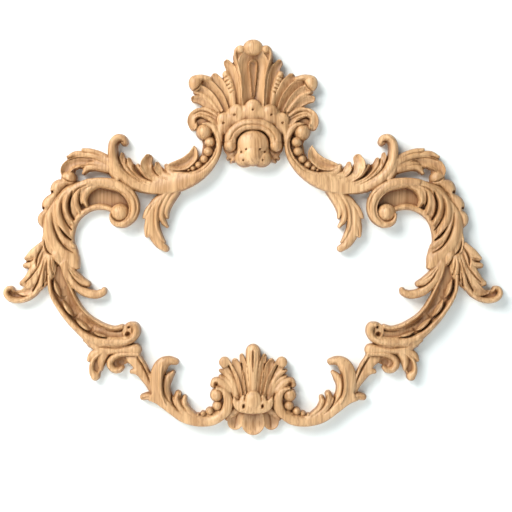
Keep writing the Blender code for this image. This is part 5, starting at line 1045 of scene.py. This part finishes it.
def room():
    """A pale floor, and a white wall that the applique hangs on."""
    wall_paint = paint("wall_paint", WALL_COLOUR, 0.9)
    clear_from_behind(wall_paint)
    across, up = (-ROOM, ROOM, ROOM, -ROOM), (FLOOR, FLOOR, ROOM, ROOM)
    wall = sheet_of("wall", [(x, WALL_GAP, z) for x, z in zip(across, up)], wall_paint)
    near = (-ROOM, -ROOM, ROOM, ROOM)
    floor_paint = paint("floor_paint", FLOOR_COLOUR, 0.8)
    floor = sheet_of("floor", [(x, y, FLOOR) for x, y in zip(across, near)], floor_paint)
    wall.visible_shadow = False
    return wall, floor


def soft_light(name, place, size, power, colour):
    """A round lamp that faces the middle of the view."""
    lamp = bpy.data.lights.new(name, "AREA")
    lamp.shape = "DISK"
    lamp.size = size
    lamp.energy = power
    lamp.color = colour
    made = added(name, lamp)
    made.location = place
    towards = Vector((0, 0, VIEW_HEIGHT)) - Vector(place)
    made.rotation_euler = towards.to_track_quat("-Z", "Y").to_euler()
    return made


def lighting():
    """A large key from the upper left, a weak fill, and a lamp behind that lights the back."""
    world = bpy.data.worlds.new("soft_room")
    bpy.context.scene.world = world
    world.use_nodes = True
    background = world.node_tree.nodes["Background"]
    background.inputs[0].default_value = WORLD_COLOUR
    background.inputs[1].default_value = WORLD_STRENGTH
    soft_light("key", (-1.6, -2.0, 1.45), 2.4, KEY_POWER, (1.0, 0.985, 0.96))
    soft_light("fill", (1.8, -2.4, -0.1), 1.8, FILL_POWER, (0.95, 0.98, 1.0))
    behind = soft_light("behind", (0.35, 3.0, 0.2), 1.2, BEHIND_POWER, (1, 1, 1))
    behind.visible_glossy = False


def camera():
    """Straight on, at the height and distance that frame the applique as the photograph does."""
    lens = bpy.data.cameras.new("front_view")
    lens.sensor_width = SENSOR_WIDTH
    lens.lens = SENSOR_WIDTH * (VIEW_DISTANCE - RELIEF_DEPTH / 2) / VIEW_WIDTH
    lens.clip_end = 50
    made = added("front_view", lens)
    made.location = (VIEW_ACROSS, -VIEW_DISTANCE, VIEW_HEIGHT)
    made.rotation_euler = (np.pi / 2, 0, 0)
    bpy.context.scene.camera = made


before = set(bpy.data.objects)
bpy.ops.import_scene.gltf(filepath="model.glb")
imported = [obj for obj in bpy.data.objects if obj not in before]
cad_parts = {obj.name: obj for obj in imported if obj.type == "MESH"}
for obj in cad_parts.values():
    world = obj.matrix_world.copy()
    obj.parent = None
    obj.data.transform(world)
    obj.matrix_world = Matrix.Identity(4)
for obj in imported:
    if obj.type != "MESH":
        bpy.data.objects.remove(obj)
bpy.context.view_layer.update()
mesh = carved_mesh()
mesh.materials.append(pale_wood())
relief = added("carved_relief", mesh)
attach(relief, "root")
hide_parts("carved_frame")
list(room())
lighting()
camera()
bpy.context.scene.view_settings.view_transform = "Standard"
